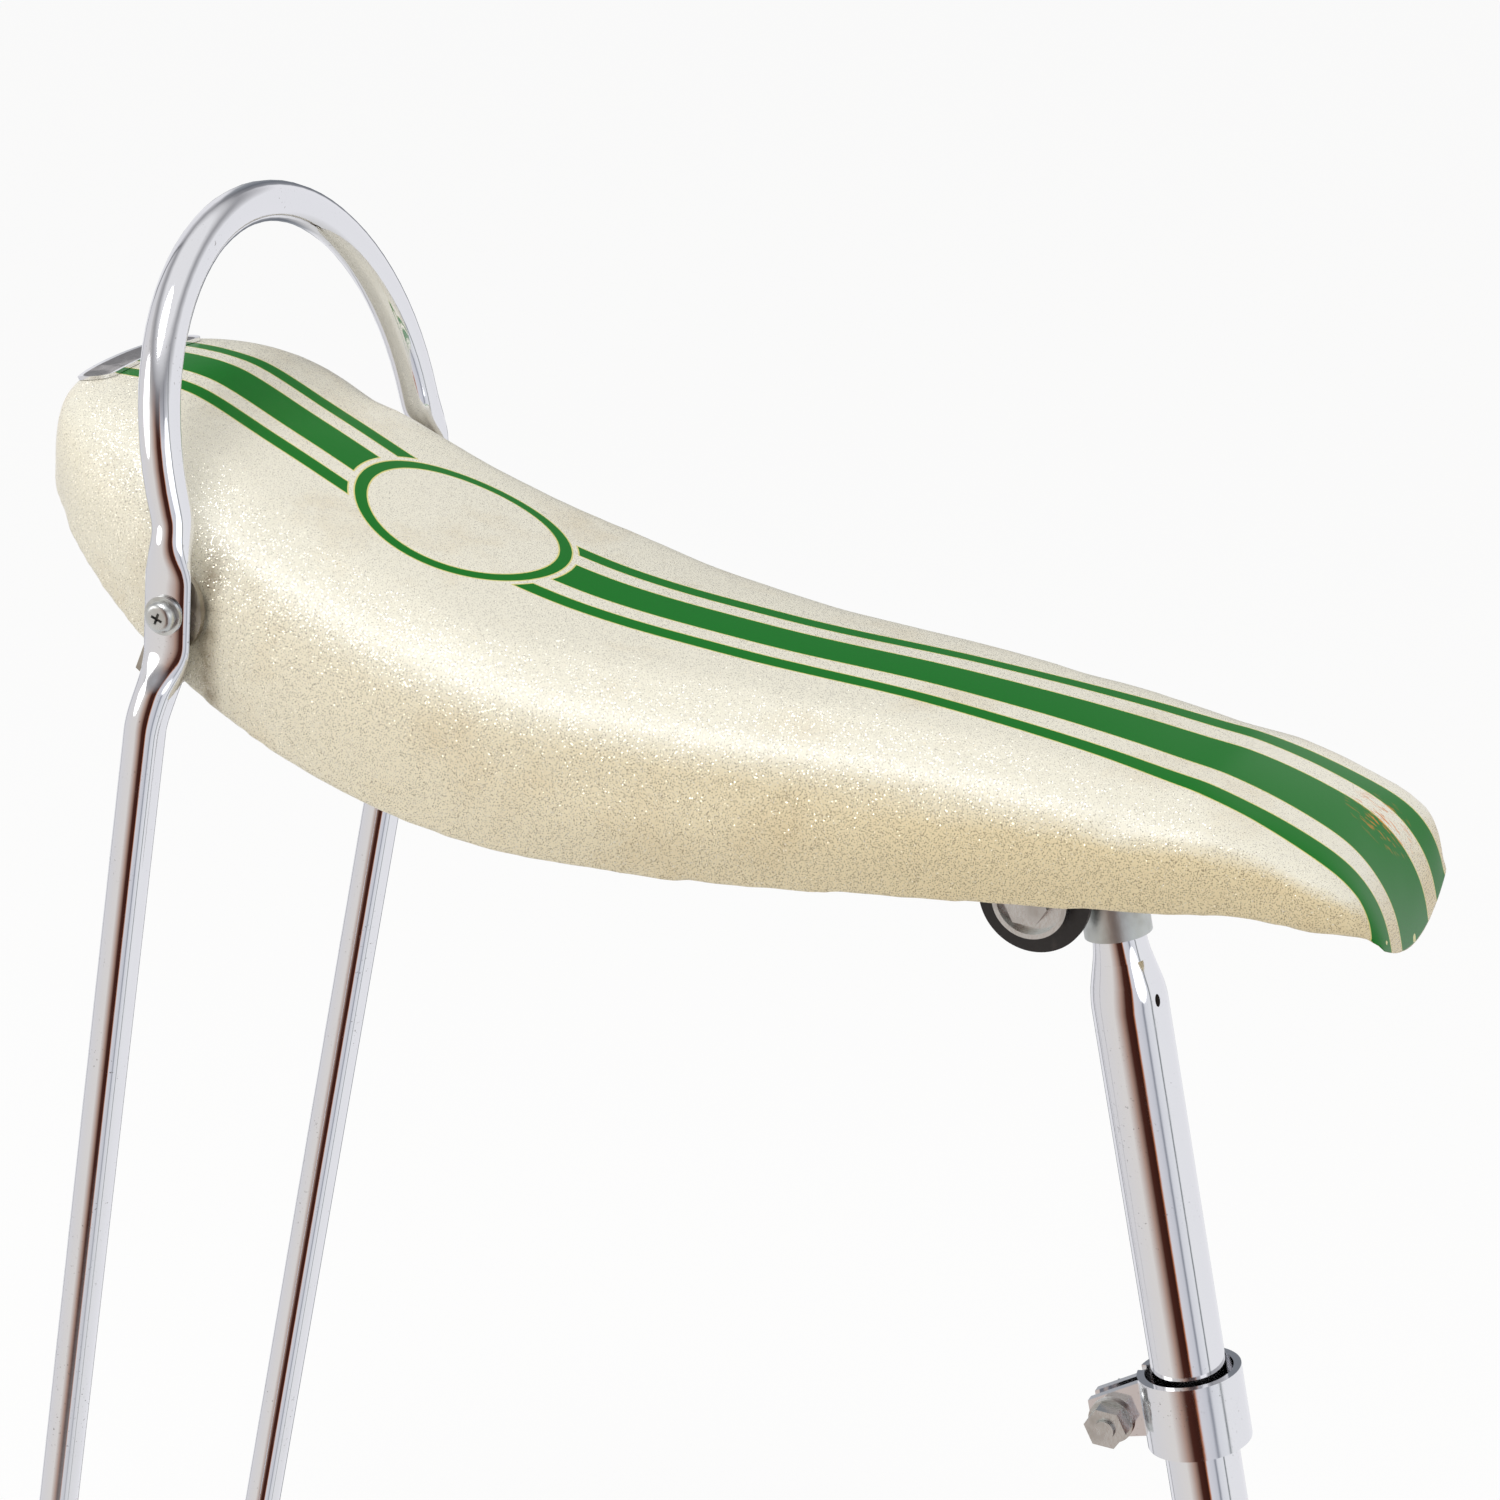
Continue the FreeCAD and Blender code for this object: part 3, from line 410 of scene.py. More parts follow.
def stripePattern(tree, place):
    # returns the green share and the share of green with its pale edge
    split = node(tree, "SeparateXYZ", {0: place}).outputs
    run = node(tree, "MapRange", {0: split[0], 1: vinyl["spreadFrom"], 2: vinyl["spreadTo"]})
    # the stripes drift a little to the right toward the nose
    drift = calc(tree, "MULTIPLY", calc(tree, "POWER", run.outputs[0], 3.0), vinyl["drift"])
    across = calc(tree, "ABSOLUTE", calc(tree, "SUBTRACT", split[1], drift))

    def edgeLine(name):
        start, wider, late = vinyl[name]
        grown = calc(tree, "MULTIPLY", calc(tree, "POWER", run.outputs[0], late), wider)
        return calc(tree, "ADD", grown, start)

    wideHalf, thinInner, thinOuter = (edgeLine(name) for name in ("wideHalf", "thinInner", "thinOuter"))
    slope = radians(vinyl["ringSlope"])
    offset = node(tree, "VectorMath", {0: place, 1: vinyl["ringPlace"]}, operation="SUBTRACT")
    along = node(tree, "VectorMath", {0: offset.outputs[0], 1: (cos(slope), 0, -sin(slope))},
                 operation="DOT_PRODUCT").outputs["Value"]
    radius = calc(tree, "SQRT", calc(tree, "ADD", calc(tree, "POWER", along, 2.0),
                                     calc(tree, "POWER", split[1], 2.0)))
    facing = node(tree, "SeparateXYZ", {0: node(tree, "NewGeometry").outputs["Normal"]}).outputs[2]
    outside = calc(tree, "GREATER_THAN", facing, vinyl["printFrom"])

    def drawn(edge):
        wide = calc(tree, "LESS_THAN", across, calc(tree, "ADD", wideHalf, edge))
        thin = band(tree, across, calc(tree, "SUBTRACT", thinInner, edge),
                    calc(tree, "ADD", thinOuter, edge))
        clear = calc(tree, "GREATER_THAN", radius, vinyl["ringClear"] - edge)
        stripes = calc(tree, "MULTIPLY", calc(tree, "MAXIMUM", wide, thin), clear)
        ring = band(tree, radius, vinyl["ringInner"] - edge, vinyl["ringOuter"] + edge)
        return calc(tree, "MULTIPLY", calc(tree, "MAXIMUM", stripes, ring), outside)

    return drawn(0.0), drawn(vinyl["edgeWidth"])


def wearMarks(tree, place, printed):
    split = node(tree, "SeparateXYZ", {0: place}).outputs
    # grime and painted shade: darkening in the crease ahead of each side of the bar
    off = calc(tree, "ABSOLUTE", calc(tree, "SUBTRACT", split[0], vinyl["creaseShadePlace"]))
    near = calc(tree, "SUBTRACT", 1.0, calc(tree, "DIVIDE", off, vinyl["creaseShadeWidth"]), clamp=True)
    out = node(tree, "MapRange", {0: calc(tree, "ABSOLUTE", split[1]), 1: vinyl["creaseShadeFrom"],
                                  2: vinyl["creaseShadeFrom"] + 0.012}).outputs[0]
    cloud = noise(tree, place, 130.0, 4.0, 0.6)
    grimeAndShade = calc(tree, "MULTIPLY", calc(tree, "MULTIPLY", near, out),
                 ramp(tree, cloud, [(0.30, 0.25), (0.62, 1.0)]))
    printed = blendColour(tree, calc(tree, "MULTIPLY", grimeAndShade, 0.85), printed, vinyl["grimeAndShade"])
    # scuffs run down over the nose in thin streaks
    drawn = node(tree, "Mapping", {"Vector": place, "Scale": (0.22, 1.0, 0.22),
                                   "Rotation": (0.0, 0.0, 0.35)}).outputs[0]
    streak = ramp(tree, noise(tree, drawn, 900.0, 2.0, 0.6), [(0.56, 0.0), (0.62, 1.0)])
    scuff = calc(tree, "MULTIPLY", streak, calc(tree, "POWER", spot(
        tree, place, vinyl["scuffPlace"], vinyl["scuffReach"]), 0.6))
    printed = blendColour(tree, scuff, printed, vinyl["scuff"])
    rough = noise(tree, place, 700.0, 2.0)
    for at in vinyl["chips"]:
        worn = calc(tree, "GREATER_THAN", calc(tree, "ADD", spot(tree, place, at, vinyl["chipReach"]),
                                               calc(tree, "MULTIPLY", rough, 0.3)), 0.42)
        printed = blendColour(tree, worn, printed, vinyl["chip"])
    return printed


def glitterVinyl():
    material, tree = newMaterial("glitterVinyl")
    place = objectPlace(tree)
    green, edged = stripePattern(tree, place)
    facing = node(tree, "SeparateXYZ", {0: node(tree, "NewGeometry").outputs["Normal"]}).outputs[2]
    # painted shade: the side walls, turned away from the overhead light, are painted a deeper cream and
    # given more dark flakes, more so toward the nose
    split = node(tree, "SeparateXYZ", {0: place}).outputs
    shadeTowardNose = node(tree, "MapRange", {0: split[0], 1: vinyl["sideShadeFrom"], 2: vinyl["sideShadeTo"],
                                    3: 0.2, 4: 1.0}).outputs[0]
    # painted shade mask: 1 where the surface faces sideways or down, away from the overhead light,
    # weighted toward the nose
    side = calc(tree, "MULTIPLY", ramp(tree, facing, [(0.34, 1.0), (0.74, 0.0)]), shadeTowardNose)
    cloud = noise(tree, place, vinyl["cloudScale"], 3.0)
    stains = noise(tree, place, vinyl["stainScale"], 4.0, 0.6)
    paintedSideShade = calc(tree, "MULTIPLY", side, vinyl["sideShadeShare"])
    cream = blendColour(tree, paintedSideShade, vinyl["cream"], vinyl["creamShaded"])
    stained = ramp(tree, stains, [(0.52, 0.0), (0.72, 1.0)])
    stained = calc(tree, "MULTIPLY", stained, vinyl["stainShare"])
    cream = blendColour(tree, stained, cream, vinyl["tan"])
    shade = blendColour(tree, calc(tree, "MULTIPLY", cloud, 0.35), vinyl["green"], vinyl["greenDeep"])
    printed = blendColour(tree, edged, cream, vinyl["edge"])
    printed = blendColour(tree, green, printed, shade)
    printed = wearMarks(tree, place, printed)
    grain = noise(tree, place, vinyl["grainScale"], 2.0)
    bump = node(tree, "Bump", {"Strength": 0.08, "Distance": 0.0002, "Height": grain})
    gloss = calc(tree, "SUBTRACT", 0.3, calc(tree, "MULTIPLY", green, 0.16))
    skin = node(tree, "BsdfPrincipled", {
        "Base Color": printed, "Roughness": 0.32, "Normal": bump.outputs[0],
        "Coat Weight": 0.06, "Coat Roughness": 0.1, "Specular IOR Level": gloss})
    # flakes: each cell has its own tilt, so some flash and some stay dark; some are also painted dark
    # as shade
    cells = node(tree, "TexVoronoi", {"Vector": place, "Scale": vinyl["flakeScale"]})
    tilt = node(tree, "VectorMath", {0: cells.outputs["Color"], 1: (0.5, 0.5, 0.5)},
                operation="SUBTRACT")
    tilt = node(tree, "VectorMath", {0: tilt.outputs[0], "Scale": vinyl["flakeLean"]},
                operation="SCALE")
    leaned = node(tree, "VectorMath", {0: node(tree, "NewGeometry").outputs["Normal"],
                                       1: tilt.outputs[0]}, operation="ADD")
    leaned = node(tree, "VectorMath", {0: leaned.outputs[0]}, operation="NORMALIZE")
    picks = node(tree, "SeparateColor", {0: cells.outputs["Color"]}).outputs
    chosen = calc(tree, "GREATER_THAN", picks[0], vinyl["flakeShare"])
    # painted shade: a few flakes everywhere, and many more on the shaded side walls, are painted dark
    shadedFlakeChance = calc(tree, "ADD", calc(tree, "MULTIPLY", side, vinyl["shadedFlakeShare"]), 0.04)
    shadedFlake = calc(tree, "LESS_THAN", picks[1], shadedFlakeChance)
    flakeColour = blendColour(tree, shadedFlake, vinyl["flakeLight"], vinyl["flakeShaded"])
    small = calc(tree, "LESS_THAN", cells.outputs["Distance"], vinyl["flakeSize"])
    flakes = calc(tree, "MULTIPLY", calc(tree, "MULTIPLY", chosen, small),
                  calc(tree, "SUBTRACT", 1.0, edged))
    flake = node(tree, "BsdfPrincipled", {"Base Color": flakeColour, "Metallic": 1.0,
                                          "Roughness": 0.22, "Normal": leaned.outputs[0]})
    both = node(tree, "MixShader", {0: calc(tree, "MULTIPLY", flakes, vinyl["flakeCover"]),
                                    1: skin.outputs[0], 2: flake.outputs[0]})
    finishMaterial(tree, both.outputs[0])
    return material


cover = {
    "voxel": 0.0035, "smoothing": 24, "fill": 0.85,
    # the foam: how hard it presses, how far it may swell, and the skin that holds it
    "pressure": 4.0, "swell": 0.0025, "frames": 20, "quality": 4, "mass": 0.2,
    "stiffness": 30, "bending": 3,
    # tail to nose: place along X, half width, hem height, top height
    "stations": np.array([
        (-421, 26, 270, 284.5), (-415, 45, 261, 288.5), (-402, 60, 248, 291),
        (-380, 72, 231, 289.5), (-342, 82, 207, 274.5), (-296, 88, 188, 255),
        (-240, 88.5, 175, 238.5), (-170, 79, 172, 230.5), (-100, 68.5, 177, 227),
        (-20, 58.5, 184.5, 218.5), (22, 53.5, 188, 211.5), (46, 50.5, 183.5, 195.5),
        (59.5, 40, 176.5, 180.5)]) / 1000,
    # fuller tail and rounded nose: place along X, top forward, top upward, hem upward
    "ends": np.array([
        (-421, 2.0, 5.5, 0.5), (-415, 1.5, 3.0, 0), (-402, 0.5, 1.0, 0), (-380, 0, 0.3, 0),
        (-330, 0, 0, 0), (-150, 0, 0, 0), (-80, 0, 0.8, 0), (-22, 0, 1.4, 0), (1, 0, 1.2, 0),
        (22, 1.0, 1.0, 0.5), (34, 3.5, 2.4, 1.5), (46, 5.0, 4.6, 4), (53, 4.0, 3.0, 6),
        (59.5, 0.8, 2.0, 8)]) / 1000,
    # the front hem: how much lower in the middle, how much its corners fall back
    "noseDip": 0.0105, "noseRound": 0.0018, "dipFrom": 0.036, "dipHalf": 0.040,
    # how far in the hem is turned, and over what length each easing fades
    "turnIn": 0.010, "turnFade": 0.006, "tipFade": 0.012,
}


def flowing(places, values, at):
    # one smooth line through the values, in place of straight runs
    slopes = np.gradient(values, places)
    left = np.clip(np.searchsorted(places, at) - 1, 0, len(places) - 2)
    span = places[left + 1] - places[left]
    t = np.clip((at - places[left]) / span, 0, 1)
    return ((2 * t**3 - 3 * t**2 + 1) * values[left] + (t**3 - 2 * t**2 + t) * span * slopes[left]
            + (3 * t**2 - 2 * t**3) * values[left + 1] + (t**3 - t**2) * span * slopes[left + 1])


def easeCover(obj, skin):
    # the skin flows from station to station and rounds over at the nose
    mesh = obj.data
    co = np.empty(len(mesh.vertices) * 3)
    mesh.vertices.foreach_get("co", co)
    co = co.reshape(-1, 3)
    places, half, hem, top = cover["stations"].T
    at = co[:, 0]
    straight = [np.interp(at, places, line) for line in (half, hem, top)]
    smooth = [flowing(places, line, at) for line in (half, hem, top)]
    share = np.clip((co[:, 2] - straight[1]) / (straight[2] - straight[1]), 0, 1)
    eased = co.copy()
    eased[:, 1] *= smooth[0] / straight[0]
    eased[:, 2] = smooth[1] + share * (smooth[2] - smooth[1])
    steps, forward, topUp, hemUp = cover["ends"].T
    weight = np.sqrt(share)
    eased[:, 0] += flowing(steps, forward, at) * weight
    eased[:, 2] += flowing(steps, topUp, at) * weight + flowing(steps, hemUp, at) * (1 - weight)
    # the turned hem follows the skin, the recess stays
    turned = np.clip((np.abs(co[:, 1]) - straight[0] + cover["turnIn"]) / cover["turnFade"], 0, 1)
    tip = np.clip((at - cover["dipFrom"]) / cover["tipFade"] + 0.5, 0, 1)
    follow = np.maximum(np.where(skin, 1.0, turned * (share < 0.2)), tip)
    co += (eased - co) * follow[:, None]
    # the middle of the front hem hangs lower than its corners
    reach = np.clip((at - cover["dipFrom"]) / (places[-1] - cover["dipFrom"]), 0, 1) ** 2
    outward = np.clip((co[:, 1] / cover["dipHalf"]) ** 2, 0, 1.2)
    co[:, 2] -= cover["noseDip"] * reach * (1 - outward)
    co[:, 0] -= cover["noseRound"] * reach * outward
    mesh.vertices.foreach_set("co", co.ravel())
    mesh.update()


def seatCover(material):
    source = nodes["seat_cover"]
    obj = bpy.data.objects.new("seatCover", source.data.copy())
    scene.collection.objects.link(obj)
    pick(obj)
    bpy.ops.object.mode_set(mode="EDIT")
    bpy.ops.mesh.select_all(action="SELECT")
    bpy.ops.mesh.customdata_custom_splitnormals_clear()
    bpy.ops.mesh.remove_doubles(threshold=0.00005)
    bpy.ops.object.mode_set(mode="OBJECT")
    obj.data.remesh_voxel_size = cover["voxel"]
    bpy.ops.object.voxel_remesh()
    skin = obj.vertex_groups.new(name="skin")
    held = obj.vertex_groups.new(name="held")
    # the recess over the pan keeps its shape, the rest is foam
    outside = np.array([not isInside(vertex) for vertex in obj.data.vertices])
    for group, members in ((skin, outside), (held, ~outside)):
        group.add([int(index) for index in np.flatnonzero(members)], 1.0, "REPLACE")
    easeCover(obj, outside)
    applyModifier(obj, "SMOOTH", factor=0.5, iterations=cover["smoothing"], vertex_group="skin")
    swellFoam(obj)
    applyModifier(obj, "SMOOTH", factor=0.5, iterations=cover["smoothing"] // 2, vertex_group="skin")
    applyModifier(obj, "SUBSURF", levels=1, render_levels=1)
    pick(obj)
    bpy.ops.object.shade_smooth()
    dress(obj, "seat", material)
    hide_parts("seat_cover")
    print("seat cover made:", len(obj.data.polygons), "faces")
    return obj


def isInside(vertex):
    # under the hem or on the recess walls, where the normal looks back to the middle
    return vertex.normal.z < -0.3 or vertex.normal.y * vertex.co.y < -0.3 * abs(vertex.co.y)


def swellFoam(obj):
    before = np.empty(len(obj.data.vertices) * 3)
    obj.data.vertices.foreach_get("co", before)
    pick(obj)
    cloth = obj.modifiers.new("Foam", "CLOTH")
    settings = cloth.settings
    settings.quality = cover["quality"]
    settings.mass = cover["mass"]
    settings.tension_stiffness = settings.compression_stiffness = cover["stiffness"]
    settings.bending_stiffness = cover["bending"]
    settings.use_pressure = True
    settings.uniform_pressure_force = cover["pressure"]
    settings.vertex_group_mass = "held"
    settings.effector_weights.gravity = 0
    cloth.point_cache.frame_end = cover["frames"]
    for step in range(1, cover["frames"] + 1):
        scene.frame_set(step)
    bpy.ops.object.modifier_apply(modifier=cloth.name)
    scene.frame_set(1)
    after = np.empty_like(before)
    obj.data.vertices.foreach_get("co", after)
    move = (after - before).reshape(-1, 3)
    length = np.linalg.norm(move, axis=1, keepdims=True)
    move *= np.minimum(1.0, cover["swell"] / np.maximum(length, 1e-9))
    obj.data.vertices.foreach_set("co", (before.reshape(-1, 3) + move).ravel())
    obj.data.update()
    print("foam swelled, at most", round(float(length.max()) * 1000, 1), "mm before the cap")


# Metal

post = {"neckLow": 0.124, "neckHigh": 0.1535, "kink": 8, "round": 0.0042, "segments": 5,
        "mark": (-0.0217, -0.0049, 0.1350)}


def dressNodes():
    # finishes the CAD nodes that stay, and returns those that new pieces share
    chrome = chromePlate("chromeTube", mark=(post["mark"], 0.0012))
    collarChrome = chromePlate("collarChrome", pits=0.9, dull=0.09)
    zinc = zincPlate("zincPlate")
    dullZinc = zincPlate("castZinc", tint=srgb(202, 205, 202), rough=0.38)
    black = paintedSteel("blackPaint", srgb(34, 32, 32), srgb(70, 62, 56), 0.38)
    pan = paintedSteel("panPaint", srgb(46, 44, 42), srgb(110, 84, 60), 0.45)
    # painted shade: the ears' zinc is tinted darker and greyer than the rest, as for metal in shadow,
    # with more dirt as well
    ear = zincPlate("earPlate", tint=srgb(176, 170, 160), rough=0.26, stain=0.6)
    finishes = {"post_collar": collarChrome, "pan_bracket": black, "seat_pan": pan,
                "clamp_stem": dullZinc, "serrated_washer_right": dullZinc,
                "serrated_washer_left": dullZinc}
    for name, obj in nodes.items():
        if name == "seat_cover":
            continue
        obj.data.materials.clear()
        obj.data.materials.append(finishes.get(name, zinc))
    print("metal dressed")
    return {"chrome": chrome, "bar": chromePlate("barChrome", pits=0.7), "zinc": zinc, "ear": ear}


# Sissy bar: one tube, crimped flat at the bolts and at the axle ends

bar = {
    "radius": 0.0070, "loopHalf": 0.0853, "bendStart": (-0.3441, 0.2679), "top": (-0.3656, 0.3504),
    "legTop": (-0.3472, 0.0968, 0.195), "legEnd": (-0.4187, 0.0806, -0.3107),
    "flat": (-0.342, 0.090, 0.235), "flatHalf": 0.011, "flatSize": (1.22, 0.43, 1.0),
    "flatRun": 0.017, "boltHole": 0.0031,
    "axle": (-0.41715, 0.081, -0.29974), "axleHalf": 0.0115, "axleSize": (1.5, 0.32, 1.0),
    "axleRun": 0.032, "axleHole": 0.005, "endBack": 0.001,
    # the axle end's cut corners: how far below the hole, how much narrower
    "endCuts": ((0.0075, 0.82), (0.0095, 0.55)),
    "sideFrom": 0.03,  # each half of the bar lies further out than this
}


def barRoute():
    # right side from the axle end to the top: point, handle before, handle after
    top = Vector((bar["top"][0], 0, bar["top"][1]))
    start = Vector((bar["bendStart"][0], -bar["loopHalf"], bar["bendStart"][1]))
    rise = Vector((top.x - start.x, 0, top.z - start.z)).normalized()
    reach = 0.5523 * bar["loopHalf"]
    legTop, legEnd = (Vector((x, -y, z)) for x, y, z in (bar["legTop"], bar["legEnd"]))
    leg = legTop - legEnd
    run = leg.normalized() * 0.009
    x, y, z = bar["flat"]
    low, high = Vector((x - 0.0008, -y, z - 0.013)), Vector((x - 0.0002, -y, z + 0.013))
    up = Vector((0.02, 0, 1)).normalized() * 0.008
    route = []
    for share in (0.0, 0.05, 0.12):
        point = legEnd + leg * share
        route.append((point, point - run, point + run))
    route += [(legTop, legTop - run, legTop + run), (low, low - up, low + up),
              (high, high - up, high + up), (start, start - rise * 0.008, start + rise * reach)]
    return route, top, Vector((0, reach, 0))


def barTube():
    route, top, sideways = barRoute()
    flip = Matrix.Scale(-1, 3, (0, 1, 0))
    mirrored = [tuple(flip @ point for point in (here, after, before))
                for here, before, after in reversed(route)]
    knots = route + [(top, top - sideways, top + sideways)] + mirrored
    data = bpy.data.curves.new("sissyBar", "CURVE")
    data.dimensions = "3D"
    data.bevel_depth, data.bevel_resolution = bar["radius"], 7
    data.use_fill_caps, data.resolution_u = True, 20
    spline = data.splines.new("BEZIER")
    spline.bezier_points.add(len(knots) - 1)
    for point, (here, before, after) in zip(spline.bezier_points, knots):
        point.handle_left_type = point.handle_right_type = "FREE"
        point.co, point.handle_left, point.handle_right = here, before, after
    obj = bpy.data.objects.new("sissyBar", data)
    scene.collection.objects.link(obj)
    pick(obj)
    bpy.ops.object.convert(target="MESH")
    return bpy.context.object


def crimp(obj, side, place, half, size, run):
    # squeezes the tube flat across, running out into the round
    x, y, z = place
    selectWhere(obj, lambda v: v.co.y * side > bar["sideFrom"] and abs(v.co.z - z) < half, "VERT")
    bpy.ops.transform.resize(value=size, center_override=(x, side * y, z),
                             use_proportional_edit=True, proportional_edit_falloff="SMOOTH",
                             proportional_size=run)
    bpy.ops.object.mode_set(mode="OBJECT")


def drill(obj, places):
    # holes along Y: place, radius
    drills = []
    for (x, y, z), radius in places:
        for side in (-1, 1):
            drills.append(startPiece("drill", bpy.ops.mesh.primitive_cylinder_add, vertices=32,
                                     radius=radius, depth=0.03, location=(x, side * y, z),
                                     rotation=(pi / 2, 0, 0)))
    deselectAll()
    for one in drills:
        one.select_set(True)
    bpy.context.view_layer.objects.active = drills[0]
    bpy.ops.object.join()
    settle(drills[0])
    applyModifier(obj, "BOOLEAN", operation="DIFFERENCE", object=drills[0], solver="EXACT")
    bpy.data.objects.remove(drills[0])


def sissyBar(material):
    obj = barTube()
    obj.name = obj.data.name = "sissyBar"
    for side in (-1, 1):
        crimp(obj, side, bar["flat"], bar["flatHalf"], bar["flatSize"], bar["flatRun"])
        crimp(obj, side, bar["axle"], bar["axleHalf"], bar["axleSize"], bar["axleRun"])
        x, y, z = bar["axle"]
        for depth, narrow in bar["endCuts"]:
            selectWhere(obj, lambda v: v.co.y * side > bar["sideFrom"] and v.co.z < z - depth, "VERT")
            bpy.ops.transform.resize(value=(narrow, 1, 1),
                                     center_override=(x - bar["endBack"], side * y, z))
            bpy.ops.object.mode_set(mode="OBJECT")
    drill(obj, ((bar["flat"], bar["boltHole"]), (bar["axle"], bar["axleHole"])))
    pick(obj)
    bpy.ops.object.shade_smooth_by_angle(angle=radians(38))
    dress(obj, "bar", material)
    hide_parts("sissy_bar")
    print("sissy bar made:", len(obj.data.polygons), "faces")


# Seat post: the tube of the frame's post with its neck rounded over

def seatPost(material):
    obj = bpy.data.objects.new("seatPost", nodes["seat_post"].data.copy())
    scene.collection.objects.link(obj)
    pick(obj)
    bpy.ops.object.mode_set(mode="EDIT")
    bpy.ops.mesh.select_all(action="SELECT")
    bpy.ops.mesh.customdata_custom_splitnormals_clear()
    bpy.ops.mesh.remove_doubles(threshold=0.00002)
    bpy.ops.mesh.select_mode(type="EDGE")
    bpy.ops.mesh.select_all(action="DESELECT")
    mesh = bmesh.from_edit_mesh(obj.data)
    for edge in mesh.edges:
        mid = (edge.verts[0].co + edge.verts[1].co) / 2
        edge.select = (post["neckLow"] < mid.z < post["neckHigh"] and len(edge.link_faces) == 2
                       and edge.calc_face_angle(0) > radians(post["kink"])
                       and abs((edge.verts[0].co - edge.verts[1].co).normalized().z) < 0.5)
    bmesh.update_edit_mesh(obj.data)
    bpy.ops.mesh.bevel(offset=post["round"], segments=post["segments"], affect="EDGES")
    bpy.ops.object.mode_set(mode="OBJECT")
    bpy.ops.object.shade_smooth_by_angle(angle=radians(32))
    dress(obj, "post", material)
    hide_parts("seat_post")
    print("seat post made:", len(obj.data.polygons), "faces")


# Pan ears: the plates behind the bar, slimmed so that little shows beside it

ears = {"middle": -0.342, "slim": 0.72}


def panEar(side, material):
    name = "pan_ear_right" if side < 0 else "pan_ear_left"
    obj = bpy.data.objects.new("panEarRight" if side < 0 else "panEarLeft", nodes[name].data.copy())
    scene.collection.objects.link(obj)
    pick(obj)
    bpy.ops.object.mode_set(mode="EDIT")
    bpy.ops.mesh.select_all(action="SELECT")
    bpy.ops.mesh.customdata_custom_splitnormals_clear()
    bpy.ops.mesh.remove_doubles(threshold=0.00002)
    bpy.ops.transform.resize(value=(ears["slim"], 1, 1), center_override=(ears["middle"], 0, 0))
    bpy.ops.object.mode_set(mode="OBJECT")
    bpy.ops.object.shade_smooth_by_angle(angle=radians(32))
    dress(obj, "seat", material)
    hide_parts(name)


# Bar screws: pan heads with a cross recess

screw = {"headRadius": 0.0053, "headHeight": 0.0035, "dome": 0.0022, "shank": 0.0029,
         "place": (-0.342, 0.235), "seat": 0.0944, "tip": 0.0767,
         "slotLong": 0.0058, "slotWide": 0.0013, "slotDeep": 0.0021}


def barScrew(side, name, material):
    x, z = screw["place"]
    mid = screw["seat"] + screw["headHeight"] / 2
    turn = (pi / 2, 0, 0)
    head = startPiece(name, bpy.ops.mesh.primitive_cylinder_add, vertices=40,
                      radius=screw["headRadius"], depth=screw["headHeight"],
                      location=(x, side * mid, z), rotation=turn)
    settle(head)
    outer = side * (screw["seat"] + screw["headHeight"])
    selectWhere(head, lambda f: abs(f.calc_center_median().y - outer) < 1e-5)
    bpy.ops.mesh.bevel(offset=screw["dome"], segments=6, affect="EDGES")
    bpy.ops.object.mode_set(mode="OBJECT")
    for angle in (0.35, 0.35 + pi / 2):
        slot = startPiece("slot", bpy.ops.mesh.primitive_cube_add,
                          location=(x, outer, z), rotation=(0, angle, 0),
                          size=(screw["slotLong"] / 2, screw["slotDeep"], screw["slotWide"] / 2))
        settle(slot)
        selectWhere(slot, lambda f: f.calc_center_median().y * side < abs(outer) - 0.001)
        bpy.ops.transform.resize(value=(0.45, 1, 0.45), center_override=(x, outer, z))
        bpy.ops.object.mode_set(mode="OBJECT")
        applyModifier(head, "BOOLEAN", operation="DIFFERENCE", object=slot, solver="EXACT")
        bpy.data.objects.remove(slot)
    length = screw["seat"] - screw["tip"] + 0.001
    shank = startPiece("shank", bpy.ops.mesh.primitive_cylinder_add, vertices=32,
                       radius=screw["shank"], depth=length, rotation=turn,
                       location=(x, side * (screw["tip"] + length / 2), z))
    settle(shank)
    applyModifier(head, "BOOLEAN", operation="UNION", object=shank, solver="EXACT")
    bpy.data.objects.remove(shank)
    pick(head)
    bpy.ops.object.shade_smooth_by_angle(angle=radians(35))
    dress(head, "seat", material)
    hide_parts("bar_screw_right" if side < 0 else "bar_screw_left")


# Badge plate across the seat's rear top, left bare

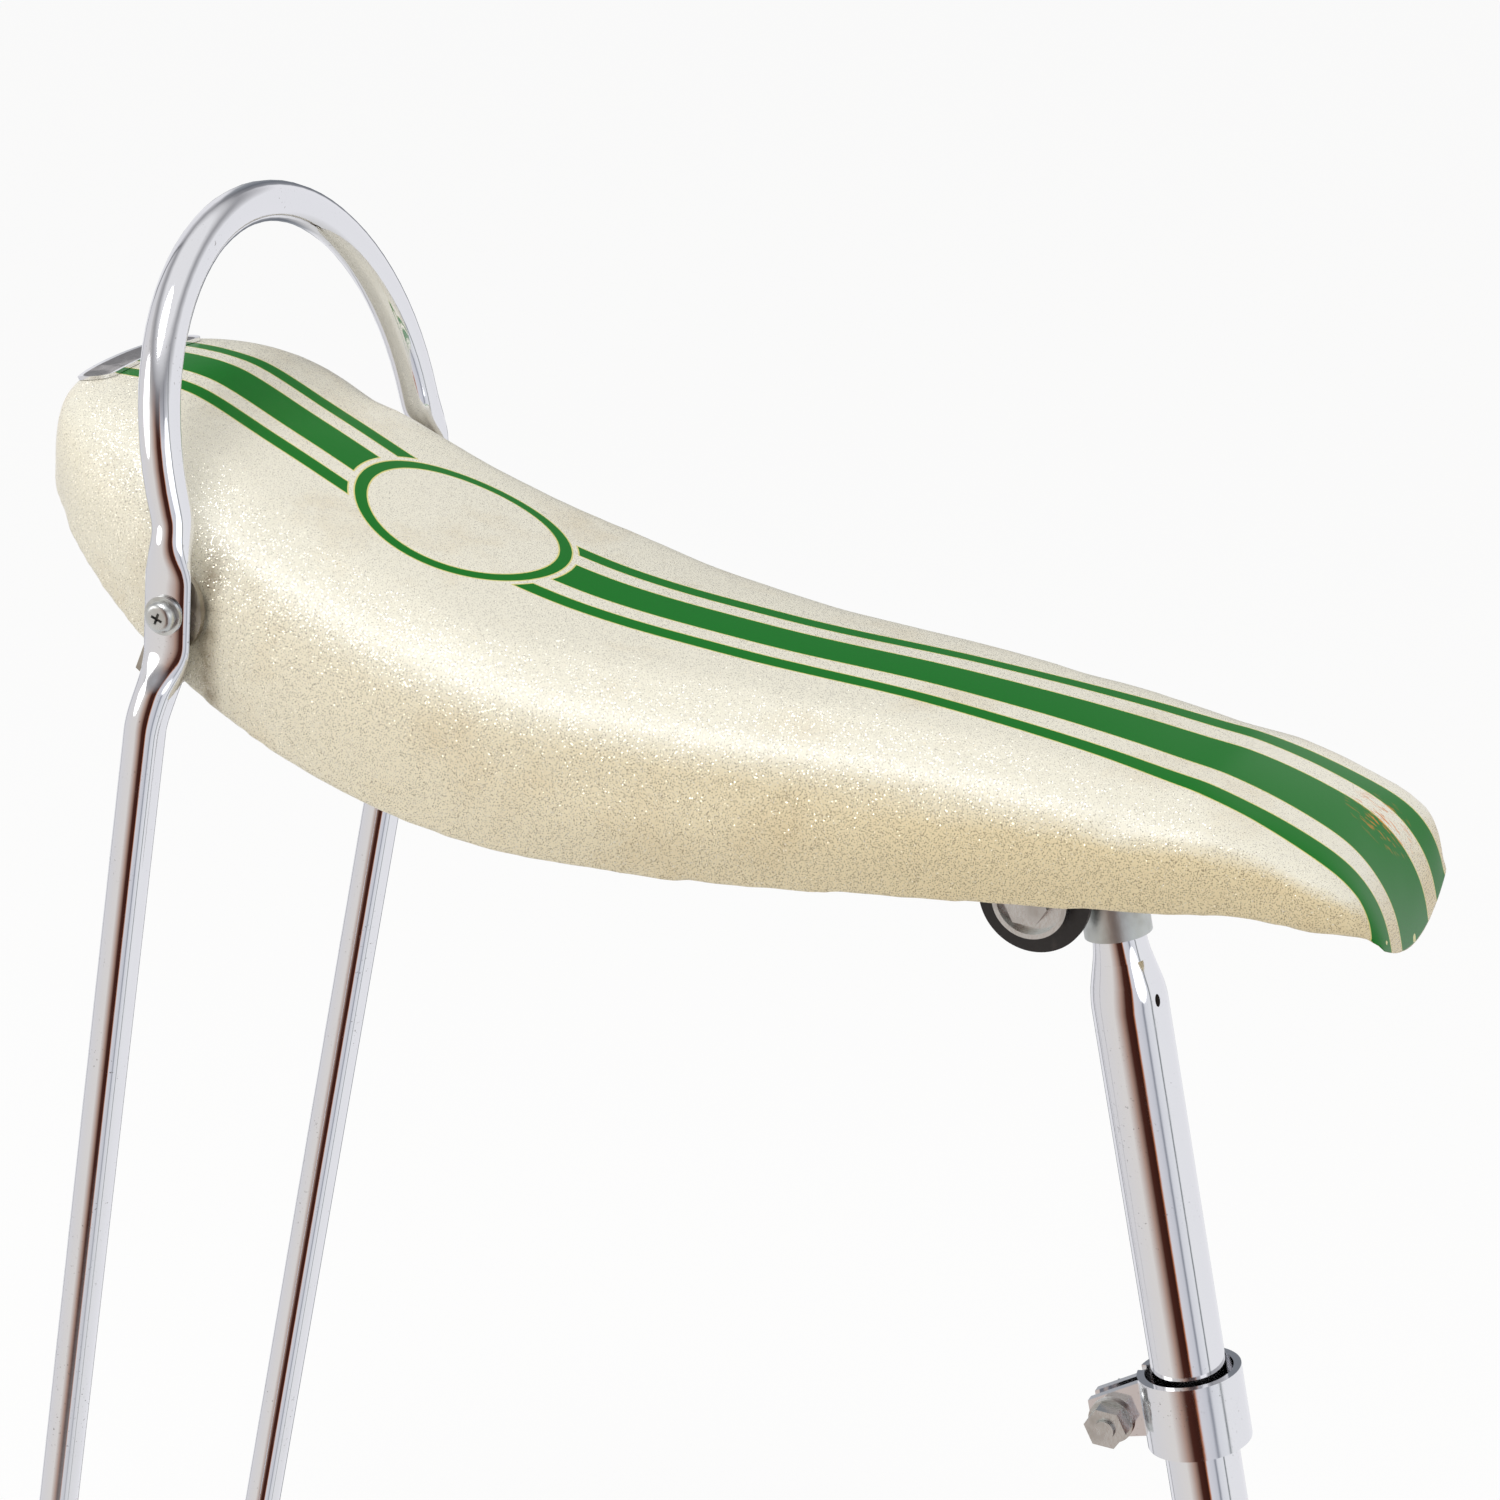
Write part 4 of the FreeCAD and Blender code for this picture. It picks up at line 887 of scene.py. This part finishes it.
badge = {"place": (-0.4080, 0.0), "long": 0.066, "wide": 0.0140, "rim": 0.0018,
         "thick": 0.0013, "sink": 0.0006, "strips": 15, "above": 0.34,
         # the sunk middle's dark colour and its lighter patches are painted reflection: the dark
         # surroundings its bright metal would mirror
         "reflectionPaint": srgb(44, 38, 38), "reflectionPaintPatches": srgb(150, 146, 146)}


def badgePlate(onto, chrome, paintedReflection):
    x, y = badge["place"]
    obj = startPiece("badgePlate", bpy.ops.mesh.primitive_plane_add, location=(x, y, badge["above"]),
                     size=(badge["wide"] / 2, badge["long"] / 2, 1))
    settle(obj)
    selectWhere(obj, lambda v: True, "VERT")
    bpy.ops.mesh.bevel(offset=badge["wide"] * 0.48, segments=7, affect="VERTICES")
    bpy.ops.mesh.select_all(action="SELECT")
    bpy.ops.mesh.inset(thickness=badge["rim"])
    for place in np.linspace(-0.5, 0.5, badge["strips"])[1:-1] * (badge["long"] - badge["wide"]):
        bpy.ops.mesh.select_all(action="SELECT")
        bpy.ops.mesh.bisect(plane_co=(x, y + place, badge["above"]), plane_no=(0, 1, 0))
    bpy.ops.object.mode_set(mode="OBJECT")
    applyModifier(obj, "SHRINKWRAP", target=onto, wrap_method="PROJECT", use_project_z=True,
                  use_negative_direction=True, use_positive_direction=False, offset=0.0002)
    applyModifier(obj, "SOLIDIFY", thickness=badge["thick"], offset=1.0)
    obj.data.materials.append(chrome)
    obj.data.materials.append(paintedReflection)
    inner = badge["wide"] / 2 - badge["rim"] * 0.9
    straight = badge["long"] / 2 - badge["wide"] / 2
    sunk = set()
    for face in obj.data.polygons:
        past = max(abs(face.center.y - y) - straight, 0)
        if face.normal.z > 0.5 and (face.center.x - x) ** 2 + past ** 2 < inner ** 2:
            face.material_index = 1
            sunk.update(face.vertices)
    for index in sunk:
        obj.data.vertices[index].co.z -= badge["sink"]
    pick(obj)
    bpy.ops.object.shade_smooth_by_angle(angle=radians(30))
    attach(obj, "seat")


addCamera()
addStudio()
metals = dressNodes()
skinPiece = seatCover(glitterVinyl())
sissyBar(metals["bar"])
seatPost(metals["chrome"])
for side, name in ((-1, "barScrewRight"), (1, "barScrewLeft")):
    barScrew(side, name, metals["zinc"])
    panEar(side, metals["ear"])
# the sunk middle gets a dark finish that is painted reflection
badgePlate(skinPiece, metals["bar"],
           paintedSteel("badgeReflectionPaint", badge["reflectionPaint"], badge["reflectionPaintPatches"], 0.3))
print("screws and badge plate made")
